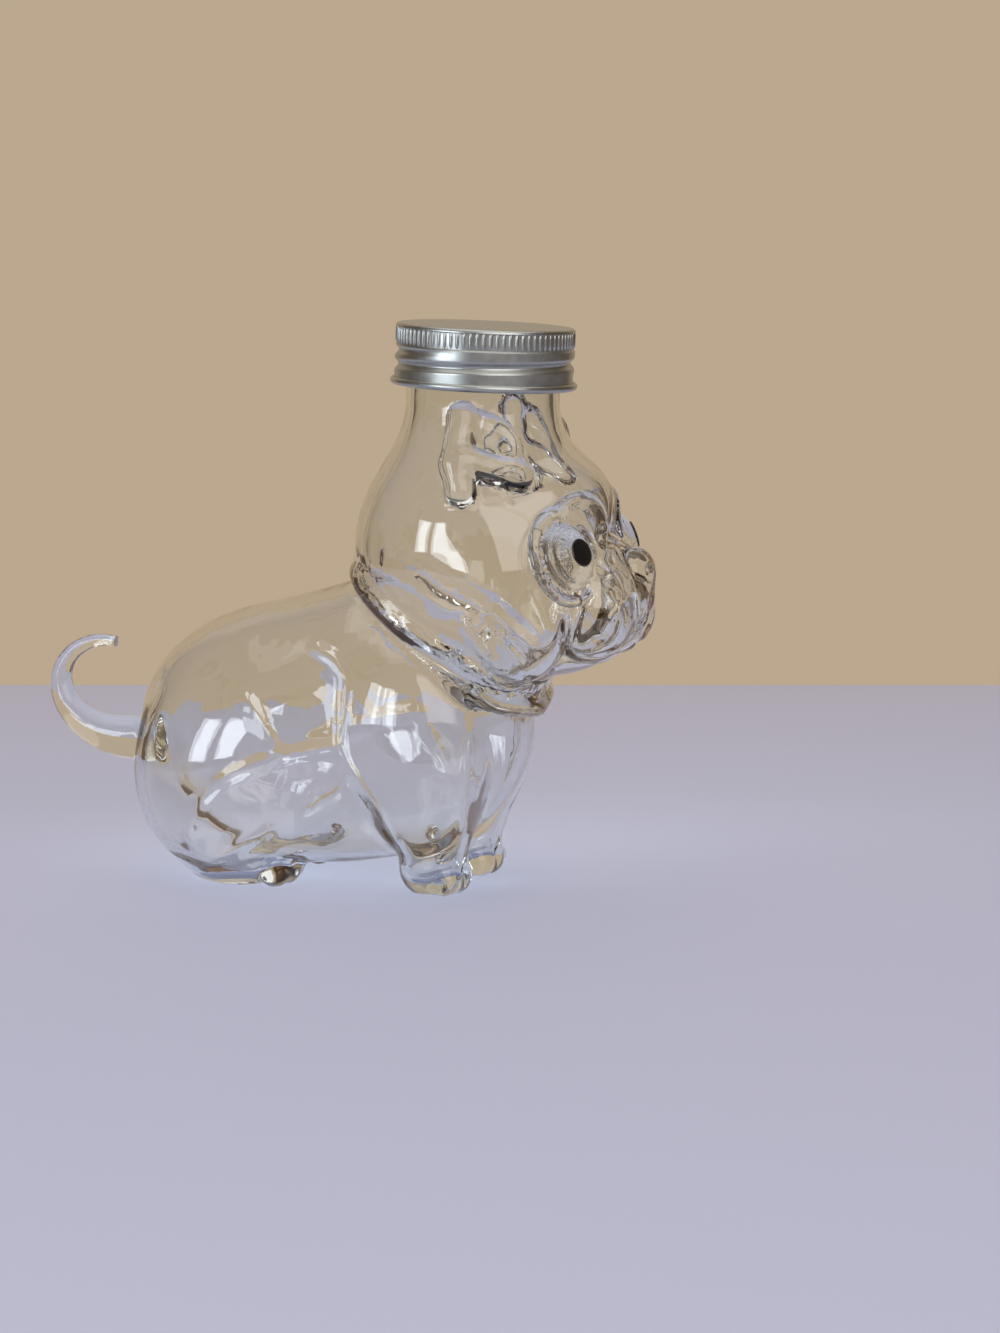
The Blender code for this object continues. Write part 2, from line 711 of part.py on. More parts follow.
def make_ears(look, collection, seat):
    work = bmesh.new()
    for form in EAR_SHARES:
        add_form(work, form, HEAD_SIZE, HEAD_MATRIX, both=False)
    left = ear_mesh(work)
    right = left.copy()
    right.transform(Matrix.Diagonal((1.0, -1.0, 1.0, 1.0)))
    right.flip_normals()
    made = []
    for name, mesh in (("ear_left", left), ("ear_right", right)):
        ear = solid(name, mesh, look, collection)
        combine(ear, seat, "DIFFERENCE")
        made.append(ear)
    return made


def ear_mesh(work):
    rough = bpy.data.meshes.new("ear")
    work.to_mesh(rough)
    work.free()
    lumps = link(bpy.data.objects.new("ear", rough))
    fuse = lumps.modifiers.new("fuse", "REMESH")
    fuse.mode = "VOXEL"
    fuse.voxel_size = EAR_VOXEL
    made = evaluated_mesh(lumps)
    ends = np.array([edge.vertices[:] for edge in made.edges])
    points = settled(relaxed(points_of(made), ends), ear_distance)
    made.vertices.foreach_set("co", points.ravel())
    lumps.modifiers.clear()
    lumps.data = made
    thin = lumps.modifiers.new("thin", "DECIMATE")
    thin.ratio = min(1.0, EAR_TRIANGLES / (2 * len(made.polygons)))
    done = evaluated_mesh(lumps)
    bpy.data.objects.remove(lumps)
    facing_out(done)
    return done


def make_pupils(look, collection, seat):
    made = []
    for side, name in ((1, "pupil_left"), (-1, "pupil_right")):
        middle, way = eye_frame(side)
        work = bmesh.new()
        turn = Matrix.Rotation(side * EYE_TURN, 4, "Z")
        place = Matrix.Translation(Vector(middle + way * EYE_DOME))
        radii = Matrix.Diagonal((PUPIL_THICKNESS + SEAT_GAP, PUPIL_RADIUS, PUPIL_RADIUS, 1.0))
        add_ball(work, HEAD_MATRIX @ place @ turn @ radii)
        mesh = bpy.data.meshes.new(name)
        work.to_mesh(mesh)
        work.free()
        dot = solid(name, mesh, look, collection)
        combine(dot, seat, "DIFFERENCE")
        made.append(dot)
    return made


LID_RADIUS = FINISH_RADIUS + THREAD_STAND_OUT + LID_CLEARANCE + LID_GROOVE + SHEET


def make_lid(look, collection, neck):
    """The rolled lid: a plain band over a grooved skirt that ends in an outward curl."""
    ceiling = RIM_RISE + 2 * SEAT_GAP + LINER_THICKNESS
    top = ceiling + SHEET
    low = top - LID_HEIGHT
    inside = LID_RADIUS - SHEET
    inside_corner = LID_CORNER - SHEET
    waves = [(groove * LID_GROOVE, top - down * LID_HEIGHT) for down, groove in LID_WAVE_SHARES]
    outer = [(0.0, top)]
    outer += arc((LID_RADIUS - LID_CORNER, top - LID_CORNER), LID_CORNER, 90, 0)
    outer += [(LID_RADIUS - depth, height) for depth, height in waves]
    outer += arc((LID_RADIUS, low + CURL_RADIUS), CURL_RADIUS, CURL_START, CURL_END)
    inner = [(inside, low)]
    inner += [(inside - depth, height) for depth, height in reversed(waves)]
    inner += arc((inside - inside_corner, ceiling - inside_corner), inside_corner, 0, 90)
    inner += [(0.0, ceiling)]
    lid = solid("lid_shell", turned_mesh("lid", outer + inner, TURNING_STEPS, True), look, collection)
    lid.parent = neck
    return lid


def make_liner(look, collection, neck):
    work = bmesh.new()
    middle = RIM_RISE + SEAT_GAP + LINER_THICKNESS / 2
    radius = LID_RADIUS - LID_CORNER
    bmesh.ops.create_cone(
        work, cap_ends=True, segments=TURNING_STEPS, radius1=radius, radius2=radius,
        depth=LINER_THICKNESS, matrix=Matrix.Translation((0.0, 0.0, middle)),
    )
    mesh = bpy.data.meshes.new("lid_liner")
    work.to_mesh(mesh)
    work.free()
    liner = solid("lid_liner", mesh, look, collection)
    liner.parent = neck
    return liner


def corners(things):
    """The lowest and the highest corner of some objects in the world."""
    found = []
    for thing in things:
        mesh = evaluated_mesh(thing)
        mesh.transform(thing.matrix_world)
        found.append(points_of(mesh))
        bpy.data.meshes.remove(mesh)
    points = np.concatenate(found)
    return points.min(axis=0), points.max(axis=0)


def main():
    clear_scene()
    jar = bpy.data.collections.new("dog_jar")
    cutters = bpy.data.collections.new("cutters")
    for group in (jar, cutters):
        bpy.context.scene.collection.children.link(group)
    glass = material("glass", GLASS)
    metal = material("aluminium", ALUMINIUM)
    foam = material("liner_foam", LINER_FOAM)
    enamel = material("enamel", ENAMEL)

    middle = link(bpy.data.objects.new("middle", None), jar)
    neck = link(bpy.data.objects.new("neck_axis", None), jar)
    neck.matrix_world = NECK_MATRIX
    body, seat = make_glass_body(glass, jar, cutters)
    pieces = [body, make_tail(glass, jar, seat)]
    pieces += make_ears(glass, jar, seat)
    pieces += make_pupils(enamel, jar, seat)
    for piece in pieces + [neck] + list(cutters.objects):
        piece.parent = middle
    lid = make_lid(metal, jar, neck)
    liner = make_liner(foam, jar, neck)
    low, high = corners(pieces + [lid, liner])
    middle.location.x = -(low[0] + high[0]) / 2
    bpy.context.view_layer.update()
    print("size in mm:", np.round((high - low) / MM, 2), "lowest", np.round(low / MM, 2))
    print("neck axis at x =", round(middle.location.x / MM, 3), "mm")


if __name__ == "__main__":
    main()
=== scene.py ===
"""Looks of the dog-shaped glass jar: blown glass, enamel pupils, rolled lid, liner and stage.

The glass is one closed mesh that stands for the shell, the ears and the tail. Like the model of
the part it is made of softly blended lumps, but it is meshed finer, its neck rolls are even cords,
and the folds of the face and the iris are cut in. Lengths are in metres, and +X is the way the
dog looks.
"""

import json
import math
from collections import namedtuple
from contextlib import contextmanager

import bmesh
import bpy
import numpy as np
from bpy.props import FloatProperty, FloatVectorProperty, IntProperty, PointerProperty
from mathutils import Matrix, Vector


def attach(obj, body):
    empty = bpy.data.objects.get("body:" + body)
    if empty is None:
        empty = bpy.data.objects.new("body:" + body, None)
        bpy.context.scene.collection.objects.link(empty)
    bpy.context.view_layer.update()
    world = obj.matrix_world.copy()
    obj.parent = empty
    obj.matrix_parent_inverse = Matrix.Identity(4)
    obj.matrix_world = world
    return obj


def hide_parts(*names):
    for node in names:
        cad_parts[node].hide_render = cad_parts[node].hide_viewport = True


bl_info = {
    "name": "Dog-shaped glass jar",
    "version": (1, 0, 0),
    "blender": (4, 5, 0),
    "location": "3D View > Sidebar > Dog jar",
    "description": "Makes the glass, the pupils, the lid, the liner and the stage of the jar",
    "category": "Object",
}

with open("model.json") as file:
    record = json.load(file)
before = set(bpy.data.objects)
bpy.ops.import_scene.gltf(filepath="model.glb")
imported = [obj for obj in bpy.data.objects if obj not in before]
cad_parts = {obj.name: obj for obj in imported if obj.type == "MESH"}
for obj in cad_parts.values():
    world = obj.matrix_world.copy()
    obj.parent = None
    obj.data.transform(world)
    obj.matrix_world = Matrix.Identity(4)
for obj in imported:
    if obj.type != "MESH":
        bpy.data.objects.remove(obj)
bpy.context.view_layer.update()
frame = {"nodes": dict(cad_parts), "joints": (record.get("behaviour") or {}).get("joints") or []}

MM = 0.001
TURNING = next(joint for joint in frame["joints"] if joint["name"] == "lid_turn")
NECK = Vector(TURNING["pos_m"])
LEAN = math.atan2(TURNING["axis"][0], TURNING["axis"][2])
ACROSS = Matrix.Translation((NECK.x, 0.0, 0.0))
NECK_HEIGHT = NECK.z
NECK_MATRIX = Matrix.Translation((0.0, 0.0, NECK_HEIGHT)) @ Matrix.Rotation(LEAN, 4, "Y")

# The animal
TRUNK_SIZE = np.array([120.0, 80.0, 84.0]) * MM
HEAD_RADIUS = 38.3 * MM
NECK_RISE = 46.0 * MM
HEAD_MIDDLE = np.array([0.0, 0.0, NECK_HEIGHT - NECK_RISE])
HEAD_SIZE = np.array([HEAD_RADIUS] * 3)
BELLY_LIFT = 4.2 * MM
GLASS_WALL = 3.0 * MM
INNER_FLOOR = 3.6 * MM
OVERRUN = 12.0 * MM

# The neck, the screw finish and the lid, by their distance from the top of the bell
NECK_RADIUS = 23.0 * MM
FINISH_RADIUS = 24.3 * MM
FINISH_HEIGHT = 13.6 * MM
FINISH_ROUND = 1.0 * MM
RIM_RISE = 21.0 * MM
BORE_RADIUS = 19.6 * MM
THREAD_PITCH = 4.233 * MM
THREAD_TURNS = 1.25
THREAD_BEAD = 1.3 * MM
THREAD_STAND_OUT = 1.0 * MM
THREAD_DROP = 3.6 * MM

# The eyes and the tail
EYE_RADIUS = 10.4 * MM
EYE_DOME = 3.2 * MM
EYE_SINK = 4.0 * MM
EYE_RING_RADIUS = 12.9 * MM
EYE_RING = 1.7 * MM
EYE_MIDDLE = np.array([36.6, 26.8, 4.6]) * MM
EYE_TURN = math.radians(23.0)
EYE_LIFT = math.radians(19.0)
PUPIL_RADIUS = 4.2 * MM
PUPIL_BULGE = 0.75 * MM
PUPIL_SINK = 0.25 * MM
IRIS_RIBS = 26
IRIS_DEPTH = 0.22 * MM
IRIS_INNER = 1.12 * PUPIL_RADIUS
IRIS_OUTER = 0.80 * EYE_RADIUS
IRIS_RIM = 0.84 * EYE_RADIUS
IRIS_RIM_WIDTH = 0.5 * MM
IRIS_RIM_DEPTH = 1.5
TAIL_RADII = (7.3 * MM, 1.7 * MM)
TAIL_CURL = (37.0 * MM, 27.5 * MM)
TAIL_ROOT = (-0.845, 41.0 * MM)

# How far two forms round into each other where they meet, and the fine relief
NECK_BLEND = 0.06 * HEAD_RADIUS
THROAT_BLEND = 0.10 * HEAD_RADIUS
EAR_BLEND = 0.03 * HEAD_RADIUS
TAIL_BLEND = 2.5 * MM
BELL_FULLNESS = 1.3
WRINKLE_DEPTH = 0.5 * MM
WRINKLE_COUNT = 34
WRINKLE_MIDDLE = (1.15, -0.16)
WRINKLE_REACH = (0.22, 0.34)

Lump = namedtuple("Lump", "name place radii lean blend")
Limb = namedtuple("Limb", "name start end radii blend")
Run = namedtuple("Run", "name places radius blend")

TRUNK_SHARES = (
    Lump("barrel", (-0.457, 0.0, 0.515), (0.455, 0.475, 0.485), 3, 0.0),
    Lump("chest", (-0.135, 0.0, 0.585), (0.255, 0.41, 0.42), 0, 0.12),
    Lump("withers", (-0.27, 0.0, 0.86), (0.20, 0.26, 0.20), -32, 0.18),
    Lump("haunch", (-0.610, 0.235, 0.38), (0.262, 0.27, 0.375), 8, 0.07),
    Lump("shoulder", (-0.115, 0.28, 0.56), (0.18, 0.20, 0.36), -8, 0.06),
)
LEG_SHARES = (
    Limb("front_leg", (-0.100, 0.24, 0.45), (-0.080, 0.205, 0.11), (0.155, 0.080), 0.05),
    Limb("hind_leg", (-0.63, 0.33, 0.24), (-0.60, 0.25, 0.09), (0.10, 0.075), 0.06),
)
PAW_SHARES = (
    Lump("front_paw", (-0.090, 0.200, 0.075), (0.080, 0.112, 0.10), 0, 0.03),
    Lump("hind_paw", (-0.605, 0.23, 0.095), (0.150, 0.135, 0.12), 0, 0.03),
)
TOE_RADIUS_SHARE = 0.040
TOE_HEIGHT_SHARE = 0.052
TOE_SPREAD_SHARES = (-0.072, 0.0, 0.072)
TOE_TIP_SHARES = (-0.010, 0.0, -0.010)
TOE_BLEND_SHARE = 0.018

SKULL_SHARES = Lump("skull", (0.0, 0.0, 0.0), (1.0, 1.0, 1.05), 0, 0.0)
FACE_SHARES = (
    Lump("face", (0.34, 0.0, -0.10), (0.66, 0.98, 0.74), 0, 0.20),
    Lump("brow", (0.50, 0.0, 0.44), (0.53, 0.62, 0.42), 0, 0.16),
    Lump("cheek", (0.42, 0.60, -0.45), (0.46, 0.37, 0.46), 0, 0.12),
    Lump("muzzle", (0.79, 0.0, -0.25), (0.585, 0.60, 0.50), 0, 0.10),
    Lump("jowl", (0.955, 0.30, -0.36), (0.355, 0.30, 0.40), -10, 0.06),
    Lump("chin", (0.70, 0.0, -0.68), (0.40, 0.36, 0.20), -14, 0.06),
    Lump("nose", (1.26, 0.0, -0.05), (0.13, 0.22, 0.16), 0, 0.09),
)
ROLL_SHARES = (
    Run("jaw_roll", (
        (-0.88, 0.25, -0.06), (-0.85, 0.45, -0.09), (-0.70, 0.66, -0.19), (-0.54, 0.74, -0.32),
        (-0.38, 0.79, -0.44), (-0.20, 0.80, -0.57), (0.0, 0.79, -0.69), (0.18, 0.74, -0.78),
        (0.30, 0.60, -0.86), (0.38, 0.36, -0.93), (0.41, 0.0, -0.98),
    ), 0.115, 0.05),
    Run("neck_roll", (
        (-0.36, 0.70, -0.70), (-0.20, 0.77, -0.79), (0.05, 0.77, -0.94), (0.20, 0.71, -1.01),
        (0.32, 0.57, -1.07), (0.41, 0.33, -1.12), (0.44, 0.0, -1.16),
    ), 0.08, 0.04),
)
BROW_FOLD = Run("brow_fold", (
    (0.80, 0.63, 0.42), (0.825, 0.529, 0.485), (0.882, 0.439, 0.515), (0.94, 0.343, 0.51),
    (0.99, 0.254, 0.46), (1.018, 0.188, 0.37), (1.03, 0.16, 0.27), (1.03, 0.25, 0.19),
), 0.045, 0.04)
# The forms that the hollow leaves out
SOLID_NAMES = ("nose", "toe")
EAR_SHARES = (
    Limb("rear_edge", (0.07, 0.70, 1.14), (0.06, 0.84, 0.79), (0.118, 0.125), 0.0),
    Limb("rear_lobe", (0.06, 0.84, 0.79), (0.12, 0.90, 0.60), (0.125, 0.122), 0.04),
    Limb("top_edge", (0.07, 0.70, 1.14), (0.37, 0.575, 0.95), (0.118, 0.075), 0.04),
    Limb("front_edge", (0.37, 0.565, 0.95), (0.51, 0.70, 0.70), (0.075, 0.105), 0.06),
    Limb("lower_edge", (0.51, 0.70, 0.70), (0.14, 0.82, 0.82), (0.105, 0.115), 0.05),
    Lump("flap", (0.24, 0.62, 0.95), (0.28, 0.11, 0.22), 20, 0.05),
)
TAIL_PLACE_SHARES = (
    (0.17, -0.04), (-0.15, -0.07), (-0.42, -0.08), (-0.66, -0.03), (-0.86, 0.12),
    (-1.00, 0.33), (-1.03, 0.58), (-0.96, 0.82), (-0.80, 0.98), (-0.64, 1.04), (-0.50, 1.01),
)
TAIL_TAPER_SHARES = (1.0, 1.0, 0.95, 0.76, 0.56, 0.40, 0.28, 0.18, 0.10, 0.03, 0.0)

# Lines pressed into the glass: runs of places in shares of what carries them, with their
# radius and depth in millimetres
TRUNK_CREASES = (
    ("thigh", 1.6, 0.8, (
        (-0.27, 0.454, 0.54), (-0.352, 0.462, 0.52), (-0.421, 0.479, 0.50), (-0.484, 0.495, 0.468),
        (-0.542, 0.506, 0.43), (-0.593, 0.508, 0.383), (-0.628, 0.508, 0.334),
        (-0.657, 0.503, 0.251), (-0.67, 0.467, 0.16),
    )),
    ("haunch_front", 1.6, 0.7, (
        (-0.517, 0.445, 0.691), (-0.488, 0.465, 0.639), (-0.458, 0.478, 0.575),
        (-0.421, 0.479, 0.499),
    )),
    ("shoulder_rear", 1.6, 0.8, (
        (-0.36, 0.349, 0.877), (-0.31, 0.372, 0.848), (-0.274, 0.402, 0.79), (-0.263, 0.424, 0.74),
        (-0.266, 0.447, 0.637), (-0.275, 0.454, 0.538), (-0.257, 0.452, 0.479),
        (-0.215, 0.444, 0.392), (-0.177, 0.422, 0.309), (-0.165, 0.353, 0.209),
    )),
    ("front_leg", 1.3, 0.6, (
        (0.055, 0.38, 0.66), (0.046, 0.375, 0.578), (0.044, 0.389, 0.474), (0.037, 0.357, 0.362),
        (0.018, 0.284, 0.241),
    )),
    ("foot_top", 1.3, 0.7, (
        (-0.586, 0.443, 0.117), (-0.538, 0.45, 0.165), (-0.492, 0.441, 0.197),
        (-0.46, 0.441, 0.228),
    )),
)
HEAD_CREASES = (
    ("mouth_corner", 1.4, 0.8, (
        (1.023, 0.586, -0.138), (0.98, 0.599, -0.245), (0.937, 0.611, -0.368),
        (0.894, 0.601, -0.493), (0.848, 0.527, -0.627),
    )),
    ("under_eye", 1.2, 0.6, (
        (0.85, 0.897, -0.13), (0.883, 0.827, -0.21), (0.962, 0.696, -0.23), (1.038, 0.557, -0.16),
    )),
    ("nose_fold", 1.2, 0.7, (
        (1.048, 0.053, 0.252), (1.076, 0.23, 0.155), (1.096, 0.353, 0.068), (1.144, 0.379, 0.011),
    )),
    ("muzzle_fold_1", 1.0, 0.5, (
        (1.154, 0.12, 0.143), (1.237, 0.24, 0.043), (1.307, 0.26, -0.068), (1.33, 0.26, -0.182),
        (1.27, 0.43, -0.26), (1.21, 0.50, -0.36),
    )),
    ("jowl_front", 1.1, 0.6, (
        (1.217, 0.467, -0.175), (1.262, 0.458, -0.266), (1.278, 0.457, -0.373),
        (1.25, 0.465, -0.495), (1.183, 0.478, -0.589), (1.084, 0.492, -0.645),
    )),
    ("mouth", 1.4, 1.0, (
        (1.36, 0.0, -0.24), (1.33, 0.10, -0.40), (1.24, 0.24, -0.60), (1.10, 0.38, -0.72),
        (0.93, 0.46, -0.74),
    )),
    ("philtrum", 1.0, 0.8, (
        (1.41, 0.0, -0.10), (1.36, 0.0, -0.28), (1.30, 0.0, -0.45),
    )),
    ("cheek_fold_1", 1.2, 0.8, (
        (0.383, 0.992, -0.298), (0.495, 0.971, -0.402), (0.603, 0.938, -0.493),
        (0.701, 0.872, -0.589),
    )),
    ("cheek_fold_2", 1.1, 0.7, (
        (0.454, 0.967, -0.511), (0.511, 0.946, -0.587), (0.574, 0.895, -0.682),
        (0.631, 0.776, -0.795),
    )),
    ("cheek_fold_3", 1.1, 0.6, (
        (0.157, 0.958, -0.41), (0.24, 0.944, -0.538), (0.334, 0.916, -0.675),
    )),
)
NOSTRIL = Lump("nostril", (1.385, 0.095, -0.03), (0.045, 0.05, 0.035), 0, 0.02)

# How finely the glass is meshed
OUTER_VOXEL = 1.32 * MM
HOLLOW_VOXEL = 1.75 * MM
TURNING_STEPS = 128
LUMP_STEPS = 24
TAIL_STEPS = 40
TAIL_STEP_SHARES = (0.0, 0.34, 0.67)
RUN_STEPS = 20
THREAD_STEPS = 96
LIP_STEPS = 6
PUPIL_STEPS = 48
SETTLE_ROUNDS = 3
RELAX_ROUNDS = 2
FINE_EYE_SHARE = 1.3
FINE_MUZZLE_SHARES = (0.82, -0.85, 0.30)
PROBE = 0.02 * MM
FAR = 1.0
STEADY = 1e-9
LEAST_SLOPE = 0.5
SHARP_ANGLE = math.radians(38.0)
CORNERS = np.array([[1.0, 1.0, 1.0], [1.0, -1.0, -1.0], [-1.0, 1.0, -1.0], [-1.0, -1.0, 1.0]])


# Distances to the lumps, for many points at once


def leaned(points, middle, degrees):
    """The points as seen from a lump that is turned about Y, nose down by so many degrees."""
    angle = math.radians(degrees)
    offset = points - middle
    along = offset[:, 0] * math.cos(angle) - offset[:, 2] * math.sin(angle)
    above = offset[:, 0] * math.sin(angle) + offset[:, 2] * math.cos(angle)
    return np.stack([along, offset[:, 1], above], axis=1)


def ellipsoid_distance(offset, radii):
    near = np.linalg.norm(offset / radii, axis=1)
    steep = np.linalg.norm(offset / np.square(radii), axis=1)
    return near * (near - 1.0) / np.maximum(steep, STEADY)


def limb_distance(points, start, end, radii):
    line = end - start
    along = np.clip((points - start) @ line / (line @ line), 0.0, 1.0)
    nearest = start + along[:, None] * line
    return np.linalg.norm(points - nearest, axis=1) - radii[0] - along * (radii[1] - radii[0])


def join_softly(first, second, blend):
    """The smaller of two distances, rounded where they are within blend of each other."""
    if blend <= 0:
        return np.minimum(first, second)
    overlap = np.maximum(blend - np.abs(first - second), 0.0) / blend
    return np.minimum(first, second) - overlap * overlap * blend / 4


def cut_softly(first, second, blend):
    return -join_softly(-first, -second, blend)


def bell_radius(height):
    """The radius of the head and neck as a turned shape, by the height above the head's middle."""
    share = np.clip(height / NECK_RISE, 0.0, 1.0)
    swell = (1 + np.cos(np.pi * share**BELL_FULLNESS)) / 2
    return NECK_RADIUS + (HEAD_RADIUS - NECK_RADIUS) * swell


def bell_distance(points, top):
    height = points[:, 2]
    across = np.hypot(points[:, 0], points[:, 1])
    slope = (bell_radius(height + PROBE) - bell_radius(height - PROBE)) / (2 * PROBE)
    side = (across - bell_radius(height)) / np.sqrt(1 + slope * slope)
    return np.maximum(np.maximum(side, height - top), -height)


def toes():
    """The toes of a front and a hind paw, as lumps in trunk shares."""
    made = []
    for paw in PAW_SHARES:
        tip = paw.place[0] + paw.radii[0] - TOE_RADIUS_SHARE / 2
        for spread, reach in zip(TOE_SPREAD_SHARES, TOE_TIP_SHARES):
            place = (tip + reach, paw.place[1] + spread, TOE_HEIGHT_SHARE)
            radii = tuple(TOE_RADIUS_SHARE * TRUNK_SIZE[0] / size for size in TRUNK_SIZE)
            made.append(Lump("toe", place, radii, 0, TOE_BLEND_SHARE))
    return made


def lump_distance(points, lump, size):
    middle = np.array(lump.place) * size
    return ellipsoid_distance(leaned(points, middle, lump.lean), np.array(lump.radii) * size)


def limb_share_distance(points, limb, size):
    radii = np.array(limb.radii) * size[0]
    return limb_distance(points, np.array(limb.start) * size, np.array(limb.end) * size, radii)


def near_chain(points, places, radius, reach):
    """Which points are in reach of a chain of places, and how far they are from its cord."""
    low, high = places.min(axis=0) - reach, places.max(axis=0) + reach
    near = np.all((points > low) & (points < high), axis=1)
    close = points[near]
    legs = [limb_distance(close, *ends, (radius, radius)) for ends in zip(places, places[1:])]
    return near, np.minimum.reduce(legs)


def run_distance(points, run, size):
    """The distance to a cord of even thickness along a run of places, smoothed."""
    places = spline(run.places, RUN_STEPS) * size
    reach = 2 * (run.radius + run.blend) * size[0]
    near, close = near_chain(points, places, run.radius * size[0], reach)
    found = np.full(len(points), FAR)
    found[near] = close
    return found


MEASURES = {Lump: lump_distance, Limb: limb_share_distance, Run: run_distance}


def gather(distance, points, shares, size):
    """Adds the lumps, limbs and runs of a table to a distance, each with its own blend."""
    for form in shares:
        found = MEASURES[type(form)](points, form, size)
        distance = found if distance is None else join_softly(distance, found, form.blend * size[0])
    return distance


def creased(distance, points, creases, size):
    """A distance with the creases of a table pressed in."""
    for _, radius, depth, places in creases:
        reach = 2 * radius * MM
        near, line = near_chain(points, np.array(places) * size, 0.0, reach)
        distance[near] += depth * MM * np.clip(1 - (line / reach) ** 2, 0.0, 1.0) ** 2
    return distance


def eye_turn(side):
    """The turn of an eye, which looks outwards and up, from the way the dog looks."""
    return Matrix.Rotation(side * EYE_TURN, 4, "Z") @ Matrix.Rotation(-EYE_LIFT, 4, "Y")


def eye_frame(side):
    """The middle of an eye's ring and the way that the eye looks, in the head's frame."""
    look = np.array(eye_turn(side).to_3x3().col[0])
    return EYE_MIDDLE * np.array([1.0, side, 1.0]), look


def eye_distances(points):
    """Distances to the eye's dome, with the ribs of its iris, and to the ring round it."""
    middle, look = eye_frame(1)
    offset = points - middle
    ahead = offset @ look
    _, aside, up = np.array(eye_turn(1).to_3x3()).T
    sideways, above = offset @ aside, offset @ up
    across = np.hypot(sideways, above)
    flat = np.stack([ahead + EYE_SINK, across, np.zeros(len(points))], axis=1)
    dome = ellipsoid_distance(flat, np.array([EYE_DOME + EYE_SINK, EYE_RADIUS, EYE_RADIUS]))
    turn = np.arctan2(above, sideways)
    share = np.clip((across - IRIS_INNER) / (IRIS_OUTER - IRIS_INNER), 0.0, 1.0)
    ribs = np.sin(np.pi * share) * (1 + np.cos(IRIS_RIBS * turn)) / 2
    rim = np.exp(-((across - IRIS_RIM) / IRIS_RIM_WIDTH) ** 2)
    dome = dome + IRIS_DEPTH * (ribs + IRIS_RIM_DEPTH * rim)
    ring = np.hypot(across - EYE_RING_RADIUS, ahead + EYE_SINK) - EYE_RING
    return dome, ring


def wrinkles(points):
    """Fine folds over the muzzle, from 0 to 1, in the head's shares."""
    along, out, up = (points / HEAD_RADIUS).T
    ahead = (along - WRINKLE_MIDDLE[0]) / WRINKLE_REACH[0]
    above = (up - WRINKLE_MIDDLE[1]) / WRINKLE_REACH[1]
    reach = np.exp(-(ahead**2 + above**2) ** 2)
    drift = 0.9 * np.sin(9 * up + 3 * out) + 0.5 * np.sin(17 * out - 5 * up)
    return reach * (0.5 + 0.5 * np.sin(WRINKLE_COUNT * out + 12 * along + 2 * drift))


def mirrored(points):
    """Every point brought to the dog's left side, because the dog is the same on both."""
    return points * np.array([1.0, 0.0, 1.0]) + np.abs(points) * np.array([0.0, 1.0, 0.0])


def trunk_distance(points, limbs):
    barrel = gather(None, points, TRUNK_SHARES, TRUNK_SIZE)
    trunk = cut_softly(barrel, BELLY_LIFT - points[:, 2], BELLY_LIFT)
    return gather(trunk, points, limbs, TRUNK_SIZE)


def head_distance(points, face):
    head = gather(None, points, (SKULL_SHARES,), HEAD_SIZE)
    head = np.minimum(head, bell_distance(points, NECK_RISE + RIM_RISE))
    return gather(head, points, face, HEAD_SIZE)


def spline(points, steps):
    """Points along a cubic B-spline that starts and ends on its first and last point."""
    points = np.array(points, float)
    count, degree = len(points), 3
    knots = np.concatenate([[0] * degree, np.arange(count - degree + 1), [count - degree] * degree])
    made = []
    for t in np.linspace(0.0, count - degree, steps):
        k = min(int(t) + degree, count - 1)
        run = [points[j + k - degree].copy() for j in range(degree + 1)]
        for level in range(1, degree + 1):
            for j in range(degree, level - 1, -1):
                low, high = knots[j + k - degree], knots[j + 1 + k - level]
                share = (t - low) / (high - low)
                run[j] = run[j - 1] * (1 - share) + run[j] * share
        made.append(run[degree])
    return np.array(made)


def tail_run():
    """Places and radii along the tail, in the middle plane."""
    rows = []
    for place, taper in zip(TAIL_PLACE_SHARES, TAIL_TAPER_SHARES):
        x = TAIL_ROOT[0] * TRUNK_SIZE[0] + place[0] * TAIL_CURL[0]
        z = TAIL_ROOT[1] + place[1] * TAIL_CURL[1]
        rows.append((x, 0.0, z, TAIL_RADII[1] + (TAIL_RADII[0] - TAIL_RADII[1]) * taper))
    return spline(rows, TAIL_STEPS)


TAIL_RUN = tail_run()


def tail_distance(points):
    """The distance to the tail, for points behind its root."""
    found = np.full(len(points), FAR)
    near = points[:, 0] < TAIL_RUN[0, 0]
    close = points[near]
    ends = zip(TAIL_RUN, TAIL_RUN[1:])
    legs = [limb_distance(close, a[:3], b[:3], (a[3], b[3])) for a, b in ends]
    found[near] = np.minimum.reduce(legs)
    return found


def outer_distance(points):
    """The outside of the glass, without the floor cut and the screw finish."""
    points = mirrored(points)
    headed = points - HEAD_MIDDLE
    body = trunk_distance(points, (*LEG_SHARES, *PAW_SHARES, *toes()))
    body = creased(body, points, TRUNK_CREASES, TRUNK_SIZE)
    body = gather(body, headed, ROLL_SHARES, HEAD_SIZE)
    head = creased(head_distance(headed, FACE_SHARES), headed, HEAD_CREASES, HEAD_SIZE)
    head = head + WRINKLE_DEPTH * wrinkles(headed)
    nostril = lump_distance(headed, NOSTRIL, HEAD_SIZE)
    head = cut_softly(head, -nostril, NOSTRIL.blend * HEAD_RADIUS)
    head = gather(head, headed, (BROW_FOLD,), HEAD_SIZE)
    dome, ring = eye_distances(headed)
    ear = gather(None, headed, EAR_SHARES, HEAD_SIZE)
    whole = join_softly(body, head, NECK_BLEND)
    whole = join_softly(whole, ring, EYE_RING)
    whole = join_softly(whole, dome, EYE_RING / 2)
    whole = join_softly(whole, ear, EAR_BLEND)
    return join_softly(whole, tail_distance(points), TAIL_BLEND)


